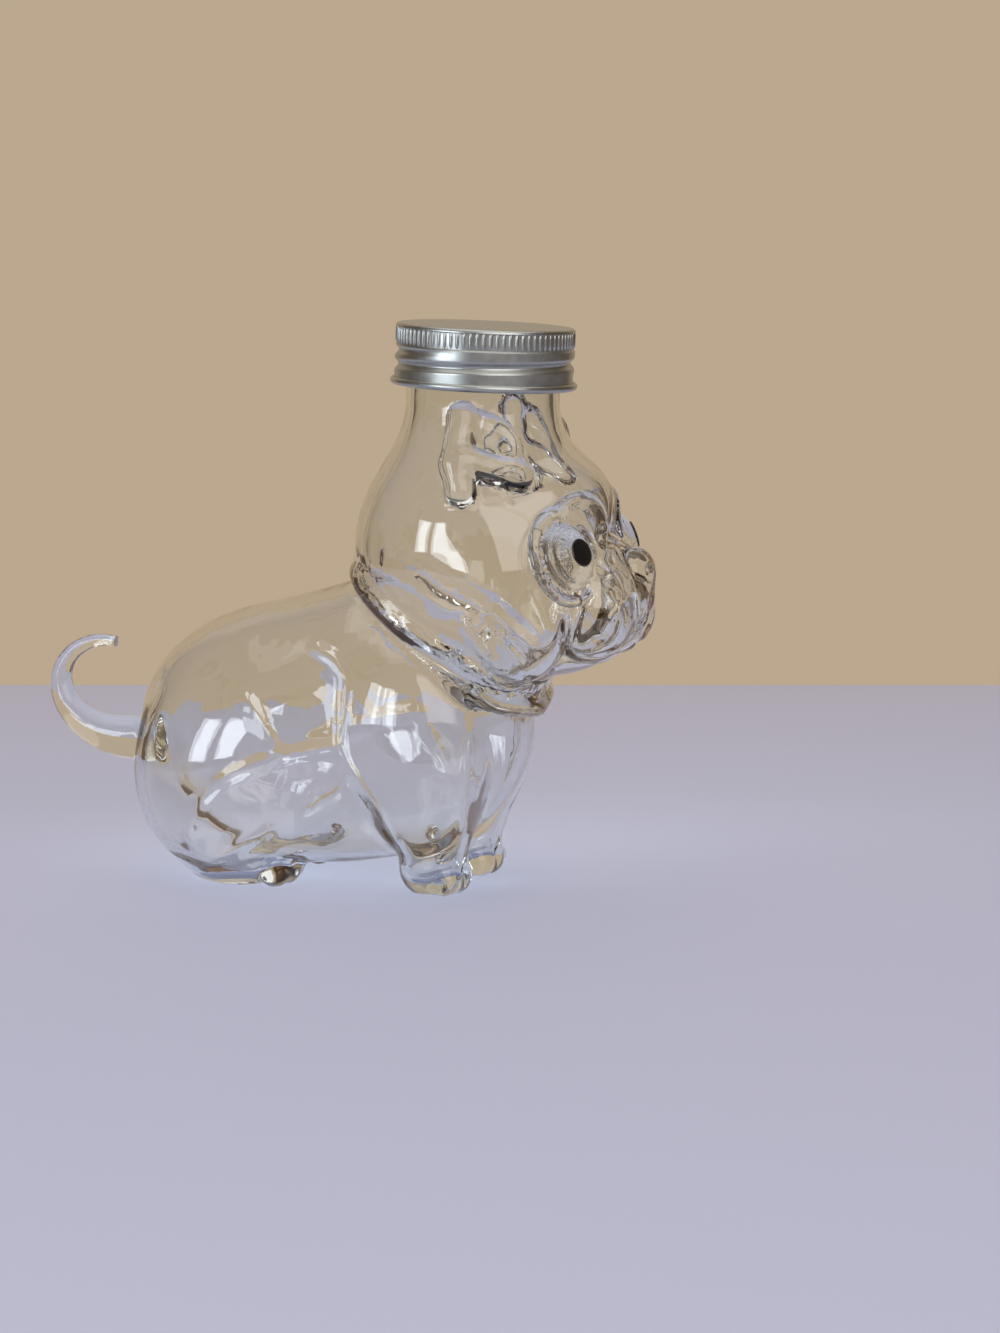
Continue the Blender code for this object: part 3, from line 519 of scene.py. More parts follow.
def hollow_distance(points):
    """The inside of the glass: every hollow form, one wall smaller."""
    points = mirrored(points)
    headed = points - HEAD_MIDDLE
    body = trunk_distance(points, (*LEG_SHARES, *PAW_SHARES))
    body = gather(body, headed, ROLL_SHARES, HEAD_SIZE)
    head = head_distance(headed, [form for form in FACE_SHARES if form.name not in SOLID_NAMES])
    whole = join_softly(body, head, THROAT_BLEND) + GLASS_WALL
    return cut_softly(whole, INNER_FLOOR - points[:, 2], INNER_FLOOR)


# From lumps to a mesh


@contextmanager
def edited(mesh):
    """A bmesh of a mesh, written back to it at the end."""
    work = bmesh.new()
    work.from_mesh(mesh)
    yield work
    work.to_mesh(mesh)
    work.free()


def triangles_of(mesh):
    """The places and the triangles of a mesh, which then goes."""
    with edited(mesh) as work:
        bmesh.ops.triangulate(work, faces=work.faces)
    places, corners = points_of(mesh), np.array([face.vertices[:] for face in mesh.polygons])
    bpy.data.meshes.remove(mesh)
    return places, corners


class Heap:
    """Overlapping primitives, gathered before they are fused."""

    def __init__(self):
        ball = bpy.data.meshes.new("ball")
        with edited(ball) as work:
            bmesh.ops.create_uvsphere(
                work, u_segments=LUMP_STEPS, v_segments=LUMP_STEPS // 2, radius=1.0
            )
        self.ball, self.ball_faces = triangles_of(ball)
        self.places, self.faces, self.count = [], [], 0

    def add(self, places, faces):
        self.places.append(places)
        self.faces.append(faces + self.count)
        self.count += len(places)

    def add_ball(self, middle, radii, degrees=0.0, turn=None):
        lean = np.array((turn or Matrix.Rotation(math.radians(degrees), 4, "Y")).to_3x3())
        self.add((self.ball * np.array(radii)) @ lean.T + np.array(middle), self.ball_faces)

    def add_form(self, form, size, base, shrink=0.0):
        """Adds the balls of one lump, limb or run, on both sides when it is off the middle."""
        if isinstance(form, Run):
            places = spline(form.places, RUN_STEPS)
            for start, end in zip(places, places[1:]):
                radii = (form.radius, form.radius)
                self.add_form(Limb(form.name, start, end, radii, 0.0), size, base, shrink)
            return
        if isinstance(form, Lump):
            spots = [(np.array(form.place) * size, np.array(form.radii) * size - shrink)]
            lean = form.lean
        else:
            start, end = np.array(form.start) * size, np.array(form.end) * size
            shares = np.linspace(0.0, 1.0, LUMP_STEPS // 2)
            slim = (form.radii[1] - form.radii[0]) * size[0]
            spots = [
                (start * (1 - s) + end * s, [form.radii[0] * size[0] + slim * s - shrink] * 3)
                for s in shares
            ]
            lean = 0.0
        for middle, radii in spots:
            for side in (1, -1) if middle[1] else (1,):
                self.add_ball(base + middle * np.array([1.0, side, 1.0]), radii, lean)

    def add_bell(self, top, shrink=0.0):
        """Adds the turned head and neck, from the head's middle up to its top."""
        heights = np.linspace(0.0, top, LUMP_STEPS)
        outline = [(float(bell_radius(h)) - shrink, h) for h in heights]
        turned = turned_mesh("bell", [(0.0, 0.0), *outline, (0.0, top)], LUMP_STEPS * 2)
        places, corners = triangles_of(turned)
        self.add(places + HEAD_MIDDLE, corners)

    def mesh(self, name):
        made = bpy.data.meshes.new(name)
        places, faces = np.concatenate(self.places), np.concatenate(self.faces)
        made.from_pydata(places.tolist(), [], faces.tolist())
        return made


def turned_mesh(name, outline, steps):
    """A profile of (radius, height) points turned about Z by a Screw modifier."""
    profile = bpy.data.meshes.new(name)
    edges = [(i, i + 1) for i in range(len(outline) - 1)]
    profile.from_pydata([(r, 0.0, z) for r, z in outline], edges, [])
    lathe = link(bpy.data.objects.new(name, profile))
    screw = lathe.modifiers.new("turn", "SCREW")
    screw.steps = screw.render_steps = steps
    screw.use_merge_vertices = True
    screw.merge_threshold = PROBE
    screw.use_normal_calculate = True
    return facing_out(finished_mesh(lathe))


def link(thing):
    bpy.context.scene.collection.objects.link(thing)
    return thing


def finished_mesh(thing, keep=False):
    """The plain mesh of an object with its modifiers applied. The object goes, unless kept."""
    bpy.context.view_layer.update()
    graph = bpy.context.evaluated_depsgraph_get()
    made = bpy.data.meshes.new_from_object(thing.evaluated_get(graph), depsgraph=graph)
    if not keep:
        bpy.data.objects.remove(thing)
    return made


def facing_out(mesh, weld=True):
    """Welds doubled points, unless told not to, and turns every face outwards."""
    with edited(mesh) as work:
        if weld:
            bmesh.ops.remove_doubles(work, verts=work.verts, dist=PROBE / 4)
        bmesh.ops.recalc_face_normals(work, faces=work.faces)
        if work.calc_volume(signed=True) < 0:
            bmesh.ops.reverse_faces(work, faces=work.faces)
    return mesh


def points_of(mesh):
    flat = np.empty(len(mesh.vertices) * 3)
    mesh.vertices.foreach_get("co", flat)
    return flat.reshape(-1, 3)


def settled(points, distance, rounds):
    """The points moved onto the surface where the distance is zero.

    Four probes round a point, at the corners of a tetrahedron, give its distance and slope.
    """
    for _ in range(rounds):
        found = np.stack([distance(points + corner * PROBE) for corner in CORNERS])
        slope = found.T @ CORNERS / (4 * PROBE)
        steep = np.maximum((slope**2).sum(axis=1), LEAST_SLOPE**2)
        points = points - (found.mean(axis=0) / steep)[:, None] * slope
    return points


def relaxed(points, ends):
    """Each point moved half way to the middle of its neighbours."""
    count = np.bincount(ends.ravel(), minlength=len(points))
    total = np.zeros_like(points)
    for axis in range(3):
        total[:, axis] += np.bincount(ends[:, 0], points[ends[:, 1], axis], len(points))
        total[:, axis] += np.bincount(ends[:, 1], points[ends[:, 0], axis], len(points))
    return points / 2 + total / count[:, None] / 2


def finely_formed(points):
    """True for points on the eyes and the muzzle, which carry the finest relief."""
    headed = mirrored(points) - HEAD_MIDDLE
    middle, _ = eye_frame(1)
    eye = np.linalg.norm(headed - middle, axis=1) < FINE_EYE_SHARE * EYE_RING_RADIUS
    along, _, up = (headed / HEAD_RADIUS).T
    front, low, high = FINE_MUZZLE_SHARES
    return eye | (along > front) & (up > low) & (up < high)


def blown_mesh(name, heap, voxel, distance, finer=None):
    """Fuses the primitives of a heap and settles them on the blended form."""
    lumps = link(bpy.data.objects.new(name, heap.mesh(name)))
    fuse = lumps.modifiers.new("fuse", "REMESH")
    fuse.mode = "VOXEL"
    fuse.voxel_size = voxel
    made = finished_mesh(lumps)
    if finer:
        made = finer_where(made, finer)
    ends = np.empty(len(made.edges) * 2, int)
    made.edges.foreach_get("vertices", ends)
    ends = ends.reshape(-1, 2)
    points = settled(points_of(made), distance, SETTLE_ROUNDS)
    for _ in range(RELAX_ROUNDS):
        points = settled(relaxed(points, ends), distance, SETTLE_ROUNDS - 1)
    made.vertices.foreach_set("co", points.ravel())
    return facing_out(made, weld=False)


def finer_where(mesh, wanted):
    """The mesh with the faces where wanted says so cut in four."""
    picked = wanted(points_of(mesh))
    with edited(mesh) as work:
        work.verts.ensure_lookup_table()
        edges = [e for e in work.edges if picked[e.verts[0].index] and picked[e.verts[1].index]]
        bmesh.ops.subdivide_edges(work, edges=edges, cuts=1, use_grid_fill=True)
        bmesh.ops.triangulate(work, faces=[f for f in work.faces if len(f.verts) > 4])
    return mesh


def all_forms():
    trunk = [*TRUNK_SHARES, *LEG_SHARES, *PAW_SHARES, *toes()]
    head = [SKULL_SHARES, *FACE_SHARES, *ROLL_SHARES]
    base = np.zeros(3)
    return [(f, TRUNK_SIZE, base) for f in trunk] + [(f, HEAD_SIZE, HEAD_MIDDLE) for f in head]


def outer_mesh():
    heap = Heap()
    fused_on = [(form, HEAD_SIZE, HEAD_MIDDLE) for form in (*EAR_SHARES, BROW_FOLD)]
    for form, size, base in all_forms() + fused_on:
        heap.add_form(form, size, base)
    heap.add_bell(NECK_RISE + RIM_RISE)
    for side in (1, -1):
        middle, look = eye_frame(side)
        radii = (EYE_DOME + EYE_SINK, EYE_RADIUS, EYE_RADIUS)
        root = HEAD_MIDDLE + middle - look * EYE_SINK
        heap.add_ball(root, radii, turn=eye_turn(side))
        for angle in np.linspace(0.0, math.tau, 2 * LUMP_STEPS, endpoint=False):
            spoke = Vector((0.0, math.cos(angle), math.sin(angle))) * EYE_RING_RADIUS
            heap.add_ball(root + np.array(eye_turn(side).to_3x3() @ spoke), [EYE_RING] * 3)
    for start, end in zip(TAIL_RUN, TAIL_RUN[1:]):
        for share in TAIL_STEP_SHARES:
            here = start * (1 - share) + end * share
            heap.add_ball(here[:3], [here[3]] * 3)
    return blown_mesh("outside", heap, OUTER_VOXEL, outer_distance, finely_formed)


def hollow_mesh():
    heap = Heap()
    for form, size, base in all_forms():
        if form.name not in SOLID_NAMES:
            heap.add_form(form, size, base, GLASS_WALL)
    heap.add_bell(NECK_RISE + RIM_RISE - GLASS_WALL, GLASS_WALL)
    return blown_mesh("hollow", heap, HOLLOW_VOXEL, hollow_distance)


def block(low, high):
    """A box between two corners."""
    size = Vector(high) - Vector(low)
    middle = (Vector(high) + Vector(low)) / 2
    made = bpy.data.meshes.new("block")
    with edited(made) as work:
        place = Matrix.Translation(middle) @ Matrix.Diagonal((*size, 1.0))
        bmesh.ops.create_cube(work, matrix=place)
    return made


def arc(middle, radius, start, end, steps=4):
    """Points of a profile on an arc, by angles in degrees from the outward direction."""
    angles = [math.radians(start + (end - start) * i / steps) for i in range(steps + 1)]
    return [(middle[0] + radius * math.cos(a), middle[1] + radius * math.sin(a)) for a in angles]


def finish_mesh():
    """The straight band of glass that carries the thread, with a rounded lip."""
    low = RIM_RISE - FINISH_HEIGHT
    shoulder = FINISH_RADIUS - NECK_RADIUS
    lip = (FINISH_RADIUS - FINISH_ROUND, RIM_RISE - FINISH_ROUND)
    outline = [(0.0, RIM_RISE), (BORE_RADIUS, RIM_RISE)]
    outline += arc(lip, FINISH_ROUND, 90, 0, LIP_STEPS)
    outline += [(FINISH_RADIUS, low), (NECK_RADIUS - shoulder, low - shoulder)]
    outline += [(0.0, low - shoulder)]
    return turned_mesh("finish", outline, TURNING_STEPS)


def bore_mesh():
    """The straight way in through the neck."""
    high = RIM_RISE + OVERRUN
    lip = BORE_RADIUS + FINISH_ROUND
    outline = [(0.0, high), (lip, high)]
    outline += arc((lip, RIM_RISE - FINISH_ROUND), FINISH_ROUND, 90, 180, LIP_STEPS)
    outline += [(BORE_RADIUS, -OVERRUN), (0.0, -OVERRUN)]
    return turned_mesh("bore", outline, TURNING_STEPS)


def thread_mesh():
    """The raised right-hand thread of the finish, which thins out at both ends."""
    data = bpy.data.curves.new("thread", "CURVE")
    data.dimensions = "3D"
    data.bevel_depth = THREAD_BEAD
    data.bevel_resolution = 3
    data.use_fill_caps = True
    run = data.splines.new("POLY")
    run.points.add(THREAD_STEPS)
    crest = FINISH_RADIUS + THREAD_STAND_OUT - THREAD_BEAD
    for index, point in enumerate(run.points):
        share = index / THREAD_STEPS
        turn = -math.tau * THREAD_TURNS * share
        reach = crest - THREAD_STAND_OUT * max(0.0, 2 * abs(2 * share - 1) - 1)
        height = RIM_RISE - THREAD_DROP - THREAD_PITCH * THREAD_TURNS * share
        point.co = (reach * math.cos(turn), reach * math.sin(turn), height, 1.0)
    return facing_out(finished_mesh(link(bpy.data.objects.new("thread", data))))


def combine(target, mesh, operation):
    """Joins a mesh to the target, or cuts it out, and applies that."""
    other = link(bpy.data.objects.new("tool", mesh))
    change = target.modifiers.new("change", "BOOLEAN")
    change.operation = operation
    change.object = other
    made = finished_mesh(target, keep=True)
    target.modifiers.clear()
    target.data = made
    bpy.data.objects.remove(other)


# Materials


# Colours in the glass: of its body, of lamps that shine through it, and of rays that are let
# through after so many turns in its wall, a brown that is painted shade for its darker contours
GLASS_BODY = (0.76, 0.86, 0.84, 1.0)
GLASS_DENSITY = 17.0
GLASS_SHADOW = (0.93, 0.94, 0.94, 1.0)
# Painted shade: the brown that rays let through after many turns take on, for darker contours
GLASS_PAINTED_CONTOUR_SHADE = (0.58, 0.49, 0.40, 1.0)
GLASS_PAINTED_SHADE_TURNS = {"Ray Depth": 7.5, "Glossy Depth": 2.5}
GLASS_BEND = 1.5


def feed(node, inputs):
    """Sets inputs of a node to plain values, or links them from other nodes' outputs."""
    for key, value in inputs.items():
        if isinstance(value, bpy.types.NodeSocket):
            node.id_data.links.new(value, node.inputs[key])
        else:
            node.inputs[key].default_value = value


def add_node(tree, kind, inputs=(), output=0, **settings):
    """One output of a new node with these inputs and settings."""
    node = tree.nodes.new(kind)
    for key, value in settings.items():
        setattr(node, key, value)
    feed(node, dict(inputs))
    return node.outputs[output]


def maths(tree, operation, *values):
    inputs = dict(enumerate(values))
    return add_node(tree, "ShaderNodeMath", inputs, operation=operation)


def new_material(name):
    """A material, its node tree and its Principled shader."""
    made = bpy.data.materials.new(name)
    made.use_nodes = True
    return made, made.node_tree, made.node_tree.nodes["Principled BSDF"]


def object_places(tree, location=(0.0, 0.0, 0.0)):
    places = add_node(tree, "ShaderNodeTexCoord", output="Object")
    return add_node(tree, "ShaderNodeMapping", {"Vector": places, "Location": location})


def noise(tree, vector, scale, detail=2.0, roughness=0.5):
    inputs = {"Vector": vector, "Scale": scale, "Detail": detail, "Roughness": roughness}
    return add_node(tree, "ShaderNodeTexNoise", inputs, "Fac")


def spread(tree, value, low, high, start=0.0, end=1.0):
    """A value mapped from one range to another."""
    inputs = {"Value": value, "From Min": start, "From Max": end, "To Min": low, "To Max": high}
    return add_node(tree, "ShaderNodeMapRange", inputs, "Result")


def bump(tree, shader, height, distance, strength=1.0):
    inputs = {"Height": height, "Distance": distance, "Strength": strength}
    feed(shader, {"Normal": add_node(tree, "ShaderNodeBump", inputs, "Normal")})


def two_tones(tree, shader, factor, colour, dark):
    """Colours a shader between a darker tone of a colour and the colour itself."""
    inputs = {"Factor": factor, "A": (*[c * dark for c in colour], 1.0), "B": (*colour, 1.0)}
    tone = add_node(tree, "ShaderNodeMix", inputs, "Result", data_type="RGBA")
    feed(shader, {"Base Color": tone})


def glass_material(colour, ripple):
    """Clear glass, with the soft ripples that blowing leaves.

    Lamps shine through it. A ray that has turned very often in the wall goes straight on, browner:
    painted shade for the dark contours that long paths in the wall show.
    """
    made, tree, shader = new_material("clear_glass")
    places = object_places(tree)
    smear = noise(tree, places, 30.0, 3.0, 0.6)
    feed(shader, {
        "Base Color": (*colour, 1.0), "Transmission Weight": 1.0, "IOR": GLASS_BEND,
        "Roughness": spread(tree, smear, 0.0, 0.03, 0.45, 0.75),
    })
    waves = noise(tree, places, 55.0, 2.0, 0.4)
    fine = noise(tree, places, 190.0, 1.0, 0.4)
    bump(tree, shader, maths(tree, "MULTIPLY_ADD", fine, 0.22, waves), ripple)
    path = add_node(tree, "ShaderNodeLightPath").node.outputs
    # Rays past so many turns go straight on in a brown, which paints shade along the glass's
    # contours
    painted_shade_rays = [maths(tree, "GREATER_THAN", path[name], turns) for name, turns in GLASS_PAINTED_SHADE_TURNS.items()]
    surface = shader.outputs[0]
    for factor, through in (
        (maths(tree, "MAXIMUM", *painted_shade_rays), GLASS_PAINTED_CONTOUR_SHADE),
        (path["Is Shadow Ray"], GLASS_SHADOW),
    ):
        clear = add_node(tree, "ShaderNodeBsdfTransparent", {"Color": through})
        surface = add_node(tree, "ShaderNodeMixShader", {0: factor, 1: surface, 2: clear})
    body = {"Color": GLASS_BODY, "Density": GLASS_DENSITY}
    depth = add_node(tree, "ShaderNodeVolumeAbsorption", body)
    feed(tree.nodes["Material Output"], {"Surface": surface, "Volume": depth})
    return made


def enamel_material(colour):
    """Fired black enamel with a faint orange peel."""
    made, tree, shader = new_material("black_enamel")
    peel = noise(tree, object_places(tree), 900.0, 2.0)
    bump(tree, shader, peel, 0.02 * MM)
    feed(shader, {"Base Color": (*colour, 1.0), "Roughness": spread(tree, peel, 0.08, 0.2)})
    feed(shader, {"Coat Weight": 0.4})
    return made


def aluminium_material(colour):
    """Satin rolled aluminium, brushed round its axis, with small scuffs."""
    made, tree, shader = new_material("satin_aluminium")
    upright = object_places(tree, (-NECK.x, 0.0, 0.0))
    apart = add_node(tree, "ShaderNodeSeparateXYZ", {0: upright}).node.outputs
    flat = add_node(tree, "ShaderNodeCombineXYZ", {"X": apart["X"], "Y": apart["Y"]})
    across = add_node(tree, "ShaderNodeVectorMath", {0: flat}, "Value", operation="LENGTH")
    rings = add_node(tree, "ShaderNodeCombineXYZ", {"X": across, "Y": apart["Z"]})
    lines = noise(tree, rings, 2600.0, 3.0, 0.7)
    grain = noise(tree, upright, 480.0, 4.0, 0.6)
    scuffs = noise(tree, upright, 120.0, 5.0, 0.75)
    both = maths(tree, "MULTIPLY_ADD", grain, 0.6, lines)
    bump(tree, shader, both, 0.012 * MM, 0.35)
    two_tones(tree, shader, spread(tree, both, 0.0, 1.0, 0.5, 1.1), colour, 0.86)
    feed(shader, {"Metallic": 1.0, "Roughness": spread(tree, scuffs, 0.30, 0.42, 0.35, 0.7)})
    return made


def foam_material(colour):
    """Closed-cell foam of the sealing disc."""
    made, tree, shader = new_material("liner_foam")
    places = object_places(tree)
    cells = {"Vector": places, "Scale": 1400.0}
    bump(tree, shader, add_node(tree, "ShaderNodeTexVoronoi", cells, "Distance"), 0.06 * MM, 0.5)
    two_tones(tree, shader, noise(tree, places, 260.0, 3.0), colour, 0.9)
    feed(shader, {"Roughness": 0.7})
    return made


def backdrop_material(colour):
    """A plain backdrop that glows evenly and can be seen through from behind."""
    made, tree, shader = new_material("backdrop")
    tree.nodes.remove(shader)
    glow = add_node(tree, "ShaderNodeEmission", {"Color": (*colour, 1.0), "Strength": 1.0})
    behind = add_node(tree, "ShaderNodeNewGeometry", output="Backfacing")
    clear = add_node(tree, "ShaderNodeBsdfTransparent")
    surface = add_node(tree, "ShaderNodeMixShader", {0: behind, 1: glow, 2: clear})
    feed(tree.nodes["Material Output"], {"Surface": surface})
    return made


def floor_material(colour):
    """Pale matt board."""
    made, tree, shader = new_material("pale_floor")
    two_tones(tree, shader, noise(tree, object_places(tree), 9.0, 3.0), colour, 0.985)
    feed(shader, {"Roughness": 0.75})
    return made


# The pieces


def finished_piece(name, mesh, look, body, replaced):
    """An object for a finished mesh, which rides on a body and stands for CAD nodes."""
    piece = link(bpy.data.objects.new(name, mesh))
    mesh.name = name
    mesh.materials.clear()
    mesh.materials.append(look)
    mesh.shade_smooth()
    mesh.set_sharp_from_angle(angle=SHARP_ANGLE)
    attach(piece, body)
    if replaced:
        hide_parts(*replaced)
    return piece


def glass_mesh():
    """The whole glass: outside, finish and thread together, less the hollow and the bore."""
    shell = link(bpy.data.objects.new("glass", outer_mesh()))
    reach = 2 * TRUNK_SIZE[0]
    top = NECK_HEIGHT + RIM_RISE
    for low, high in ((-OVERRUN, 0.0), (top - FINISH_HEIGHT / 2, top + OVERRUN)):
        combine(shell, block((-reach, -reach, low), (reach, reach, high)), "DIFFERENCE")
    for mesh in (finish_mesh(), thread_mesh()):
        mesh.transform(NECK_MATRIX)
        combine(shell, mesh, "UNION")
    combine(shell, hollow_mesh(), "DIFFERENCE")
    bore = bore_mesh()
    bore.transform(NECK_MATRIX)
    combine(shell, bore, "DIFFERENCE")
    made = finished_mesh(shell)
    made.transform(ACROSS)
    return facing_out(made)


def pupil_mesh(side):
    """A thin lens of enamel on the eye's dome."""
    middle, way = eye_frame(side)
    place = Matrix.Translation(Vector(HEAD_MIDDLE + middle + way * (EYE_DOME - PUPIL_SINK)))
    radii = Matrix.Diagonal((PUPIL_BULGE, PUPIL_RADIUS, PUPIL_RADIUS, 1.0))
    mesh = bpy.data.meshes.new("pupil")
    with edited(mesh) as work:
        bmesh.ops.create_uvsphere(
            work, u_segments=PUPIL_STEPS, v_segments=PUPIL_STEPS // 2, radius=1.0,
            matrix=ACROSS @ place @ eye_turn(side) @ radii @ Matrix.Rotation(math.pi / 2, 4, "Y"),
        )
    return mesh


# The rolled lid: heights are from the top of the bell or, for the skirt and band, down from the
# lid's top, and a rib of the knurl is a cylinder whose ends are rounded off by a power curve
LID_TOP = RIM_RISE + 2.3 * MM
LID_HEIGHT = 18.2 * MM
LID_RADIUS = 26.7 * MM
LID_CORNER = 1.1 * MM
LID_SHEET = 0.5 * MM
CURL_RADIUS = 1.15 * MM
SKIRT_TOP = 6.6 * MM
SKIRT_LOW = 15.6 * MM
CURL_TOP = 2.1 * MM
CURL_START = 62
CROWN_RADII = (12.0 * MM, LID_RADIUS - 4.0 * MM)
BAND_TOP = LID_CORNER + 0.35 * MM
BAND_LOW = SKIRT_TOP - 0.5 * MM
SKIRT_START = SKIRT_TOP + 0.2 * MM
LID_COLUMNS = 252
SKIRT_ROWS = 44
GROOVE_EASE = 0.18
RIB_SIDES = 10
RIB_RINGS = 6
RIB_REACH = 1.96
RIB_POWER = 6.0
RIB_LIFT = 0.3 * MM


def groove_depth(turn, down, settings):
    """How far the rolled thread presses the skirt in, at a turn in radians and a height."""
    depth = np.zeros_like(down)
    for lap in (0, 1, 2):
        around = (turn % math.tau) / math.tau + lap
        middle = settings.thread_low - THREAD_PITCH * around
        ease = np.clip(np.minimum(around, settings.thread_turns - around) / GROOVE_EASE, 0.0, 1.0)
        near = np.clip(1 - np.abs(down - middle) / settings.thread_width, 0.0, 1.0)
        depth = np.maximum(depth, settings.thread_depth * ease * np.sin(near * math.pi / 2) ** 2)
    return depth


def lid_mesh(settings):
    """The lid's sheet: outer and inner side of one turned profile, with the rolled thread."""
    top, low = LID_TOP, LID_TOP - LID_HEIGHT
    band = LID_RADIUS - settings.rib_stand_out
    outer = [(radius, top) for radius in (0.0, *CROWN_RADII)]
    outer += arc((LID_RADIUS - LID_CORNER, top - LID_CORNER), LID_CORNER, 90, 0, 7)
    outer += [(band, top - BAND_TOP), (band, top - BAND_LOW), (LID_RADIUS, top - SKIRT_TOP)]
    skirt = np.linspace(SKIRT_START, SKIRT_LOW, SKIRT_ROWS)
    outer += [(LID_RADIUS, top - down) for down in skirt]
    outer += [(LID_RADIUS, low + CURL_TOP)]
    outer += arc((LID_RADIUS, low + CURL_RADIUS), CURL_RADIUS, CURL_START, -90, 9)
    walls = [(r, z) for r, z in reversed(outer) if z < top - LID_CORNER and r <= LID_RADIUS]
    inner = [(r - LID_SHEET, z) for r, z in walls]
    inner[0] = (LID_RADIUS - LID_SHEET, low)
    corner = LID_CORNER - LID_SHEET
    inner += arc((LID_RADIUS - LID_SHEET - corner, top - LID_SHEET - corner), corner, 0, 90, 4)
    inner += [(0.0, top - LID_SHEET)]
    radius, height = np.array(outer + inner).T
    count = len(radius)
    rows, faces = [], []
    for column in range(LID_COLUMNS):
        turn = math.tau * column / LID_COLUMNS
        depth = groove_depth(turn, top - height, settings)
        reach = np.where(radius > LID_RADIUS / 2, radius - depth, radius)
        rows.append(np.stack([reach * math.cos(turn), reach * math.sin(turn), height], axis=1))
        here, there = column * count, (column + 1) % LID_COLUMNS * count
        for k in range(count - 1):
            faces.append((here + k, there + k, there + k + 1, here + k + 1))
    mesh = bpy.data.meshes.new("lid")
    mesh.from_pydata(np.concatenate(rows).tolist(), [], faces)
    with edited(mesh) as work:
        bmesh.ops.remove_doubles(work, verts=work.verts, dist=PROBE / 4)
        bmesh.ops.dissolve_degenerate(work, edges=work.edges, dist=PROBE / 4)
    return facing_out(mesh)


def knurl_tree(look):
    """A node tree that sets one rounded rib after another round a circle."""
    tree = bpy.data.node_groups.new("knurl", "GeometryNodeTree")
    sockets = {}
    for name in ("Ribs", "Circle Radius", "Rib Radius", "Rib Length", "Height"):
        kind = "NodeSocketInt" if name == "Ribs" else "NodeSocketFloat"
        sockets[name] = tree.interface.new_socket(name, in_out="INPUT", socket_type=kind).identifier
    tree.interface.new_socket("Geometry", in_out="OUTPUT", socket_type="NodeSocketGeometry")
    given = tree.nodes.new("NodeGroupInput").outputs
    rib = add_node(tree, "GeometryNodeMeshCylinder", {
        "Vertices": RIB_SIDES, "Side Segments": RIB_RINGS, "Radius": given["Rib Radius"],
        "Depth": given["Rib Length"],
    })
    place = add_node(tree, "GeometryNodeInputPosition")
    height = add_node(tree, "ShaderNodeSeparateXYZ", {0: place}, "Z")
    share = maths(tree, "DIVIDE", height, given["Rib Length"])
    size = maths(tree, "ABSOLUTE", maths(tree, "MULTIPLY", share, RIB_REACH))
    rest = maths(tree, "SUBTRACT", 1.0, maths(tree, "POWER", size, RIB_POWER))
    thin = maths(tree, "POWER", rest, 0.5)
    factor = add_node(tree, "ShaderNodeCombineXYZ", {"X": thin, "Y": thin, "Z": 1.0})
    rounded = add_node(tree, "ShaderNodeVectorMath", {0: place, 1: factor}, operation="MULTIPLY")
    shaped = add_node(tree, "GeometryNodeSetPosition", {"Geometry": rib, "Position": rounded})
    ring = {"Vertices": given["Ribs"], "Radius": given["Circle Radius"]}
    circle = add_node(tree, "GeometryNodeMeshCircle", ring)
    lift = add_node(tree, "ShaderNodeCombineXYZ", {"Z": given["Height"]})
    raised = add_node(tree, "GeometryNodeSetPosition", {"Geometry": circle, "Offset": lift})
    spots = add_node(tree, "GeometryNodeInstanceOnPoints", {"Points": raised, "Instance": shaped})
    real = add_node(tree, "GeometryNodeRealizeInstances", {0: spots})
    painted = add_node(tree, "GeometryNodeSetMaterial", {"Geometry": real, "Material": look})
    feed(tree.nodes.new("NodeGroupOutput"), {0: painted})
    return tree, sockets


def knurl_mesh(settings, look):
    holder = link(bpy.data.objects.new("knurl", bpy.data.meshes.new("knurl")))
    change = holder.modifiers.new("knurl", "NODES")
    tree, sockets = knurl_tree(look)
    change.node_group = tree
    for name, value in (
        ("Ribs", settings.ribs),
        ("Rib Radius", settings.rib_radius),
        ("Circle Radius", LID_RADIUS - settings.rib_radius),
        ("Rib Length", settings.rib_length),
        ("Height", LID_TOP - LID_CORNER + RIB_LIFT - settings.rib_length / 2),
    ):
        change[sockets[name]] = value
    return facing_out(finished_mesh(holder))


# Settings, operators and the panel


def length(name, text, value):
    return FloatProperty(name=name, description=text, default=value, unit="LENGTH", precision=5)


def power(name, text, value):
    return FloatProperty(name=name, description=text, default=value, unit="POWER")


def angle(name, text, degrees):
    value = math.radians(degrees)
    return FloatProperty(name=name, description=text, default=value, subtype="ANGLE")


def colour(name, text, value):
    return FloatVectorProperty(
        name=name, description=text, default=value, size=3, subtype="COLOR", min=0, max=1
    )


class DogJarGlass(bpy.types.PropertyGroup):
    tint: colour("Tint", "Colour of the clear glass", (0.965, 0.975, 0.97))
    ripple: length("Ripple", "Height of the soft ripples in the glass", 0.00018)
    enamel: colour("Enamel", "Colour of the pupils", (0.006, 0.006, 0.008))


class DogJarLid(bpy.types.PropertyGroup):
    metal: colour("Metal", "Colour of the aluminium", (0.52, 0.545, 0.53))
    foam: colour("Foam", "Colour of the sealing disc", (0.83, 0.83, 0.79))
    ribs: IntProperty(name="Ribs", description="Ribs of the knurled band", default=84, min=3)
    rib_radius: length("Rib radius", "Radius of one rib", 0.00062)
    rib_length: length("Rib length", "Length of one rib", 0.0052)
    rib_stand_out: length("Rib stand-out", "How far a rib stands out of its band", 0.00042)
    thread_depth: length("Thread depth", "How deep the thread is rolled in", 0.0011)
    thread_width: length("Thread width", "Half the width of the rolled thread", 0.0019)
    thread_low: length("Thread start", "How far down the thread starts", 0.0146)
    thread_turns: FloatProperty(name="Thread turns", description="Turns it makes", default=1.75)


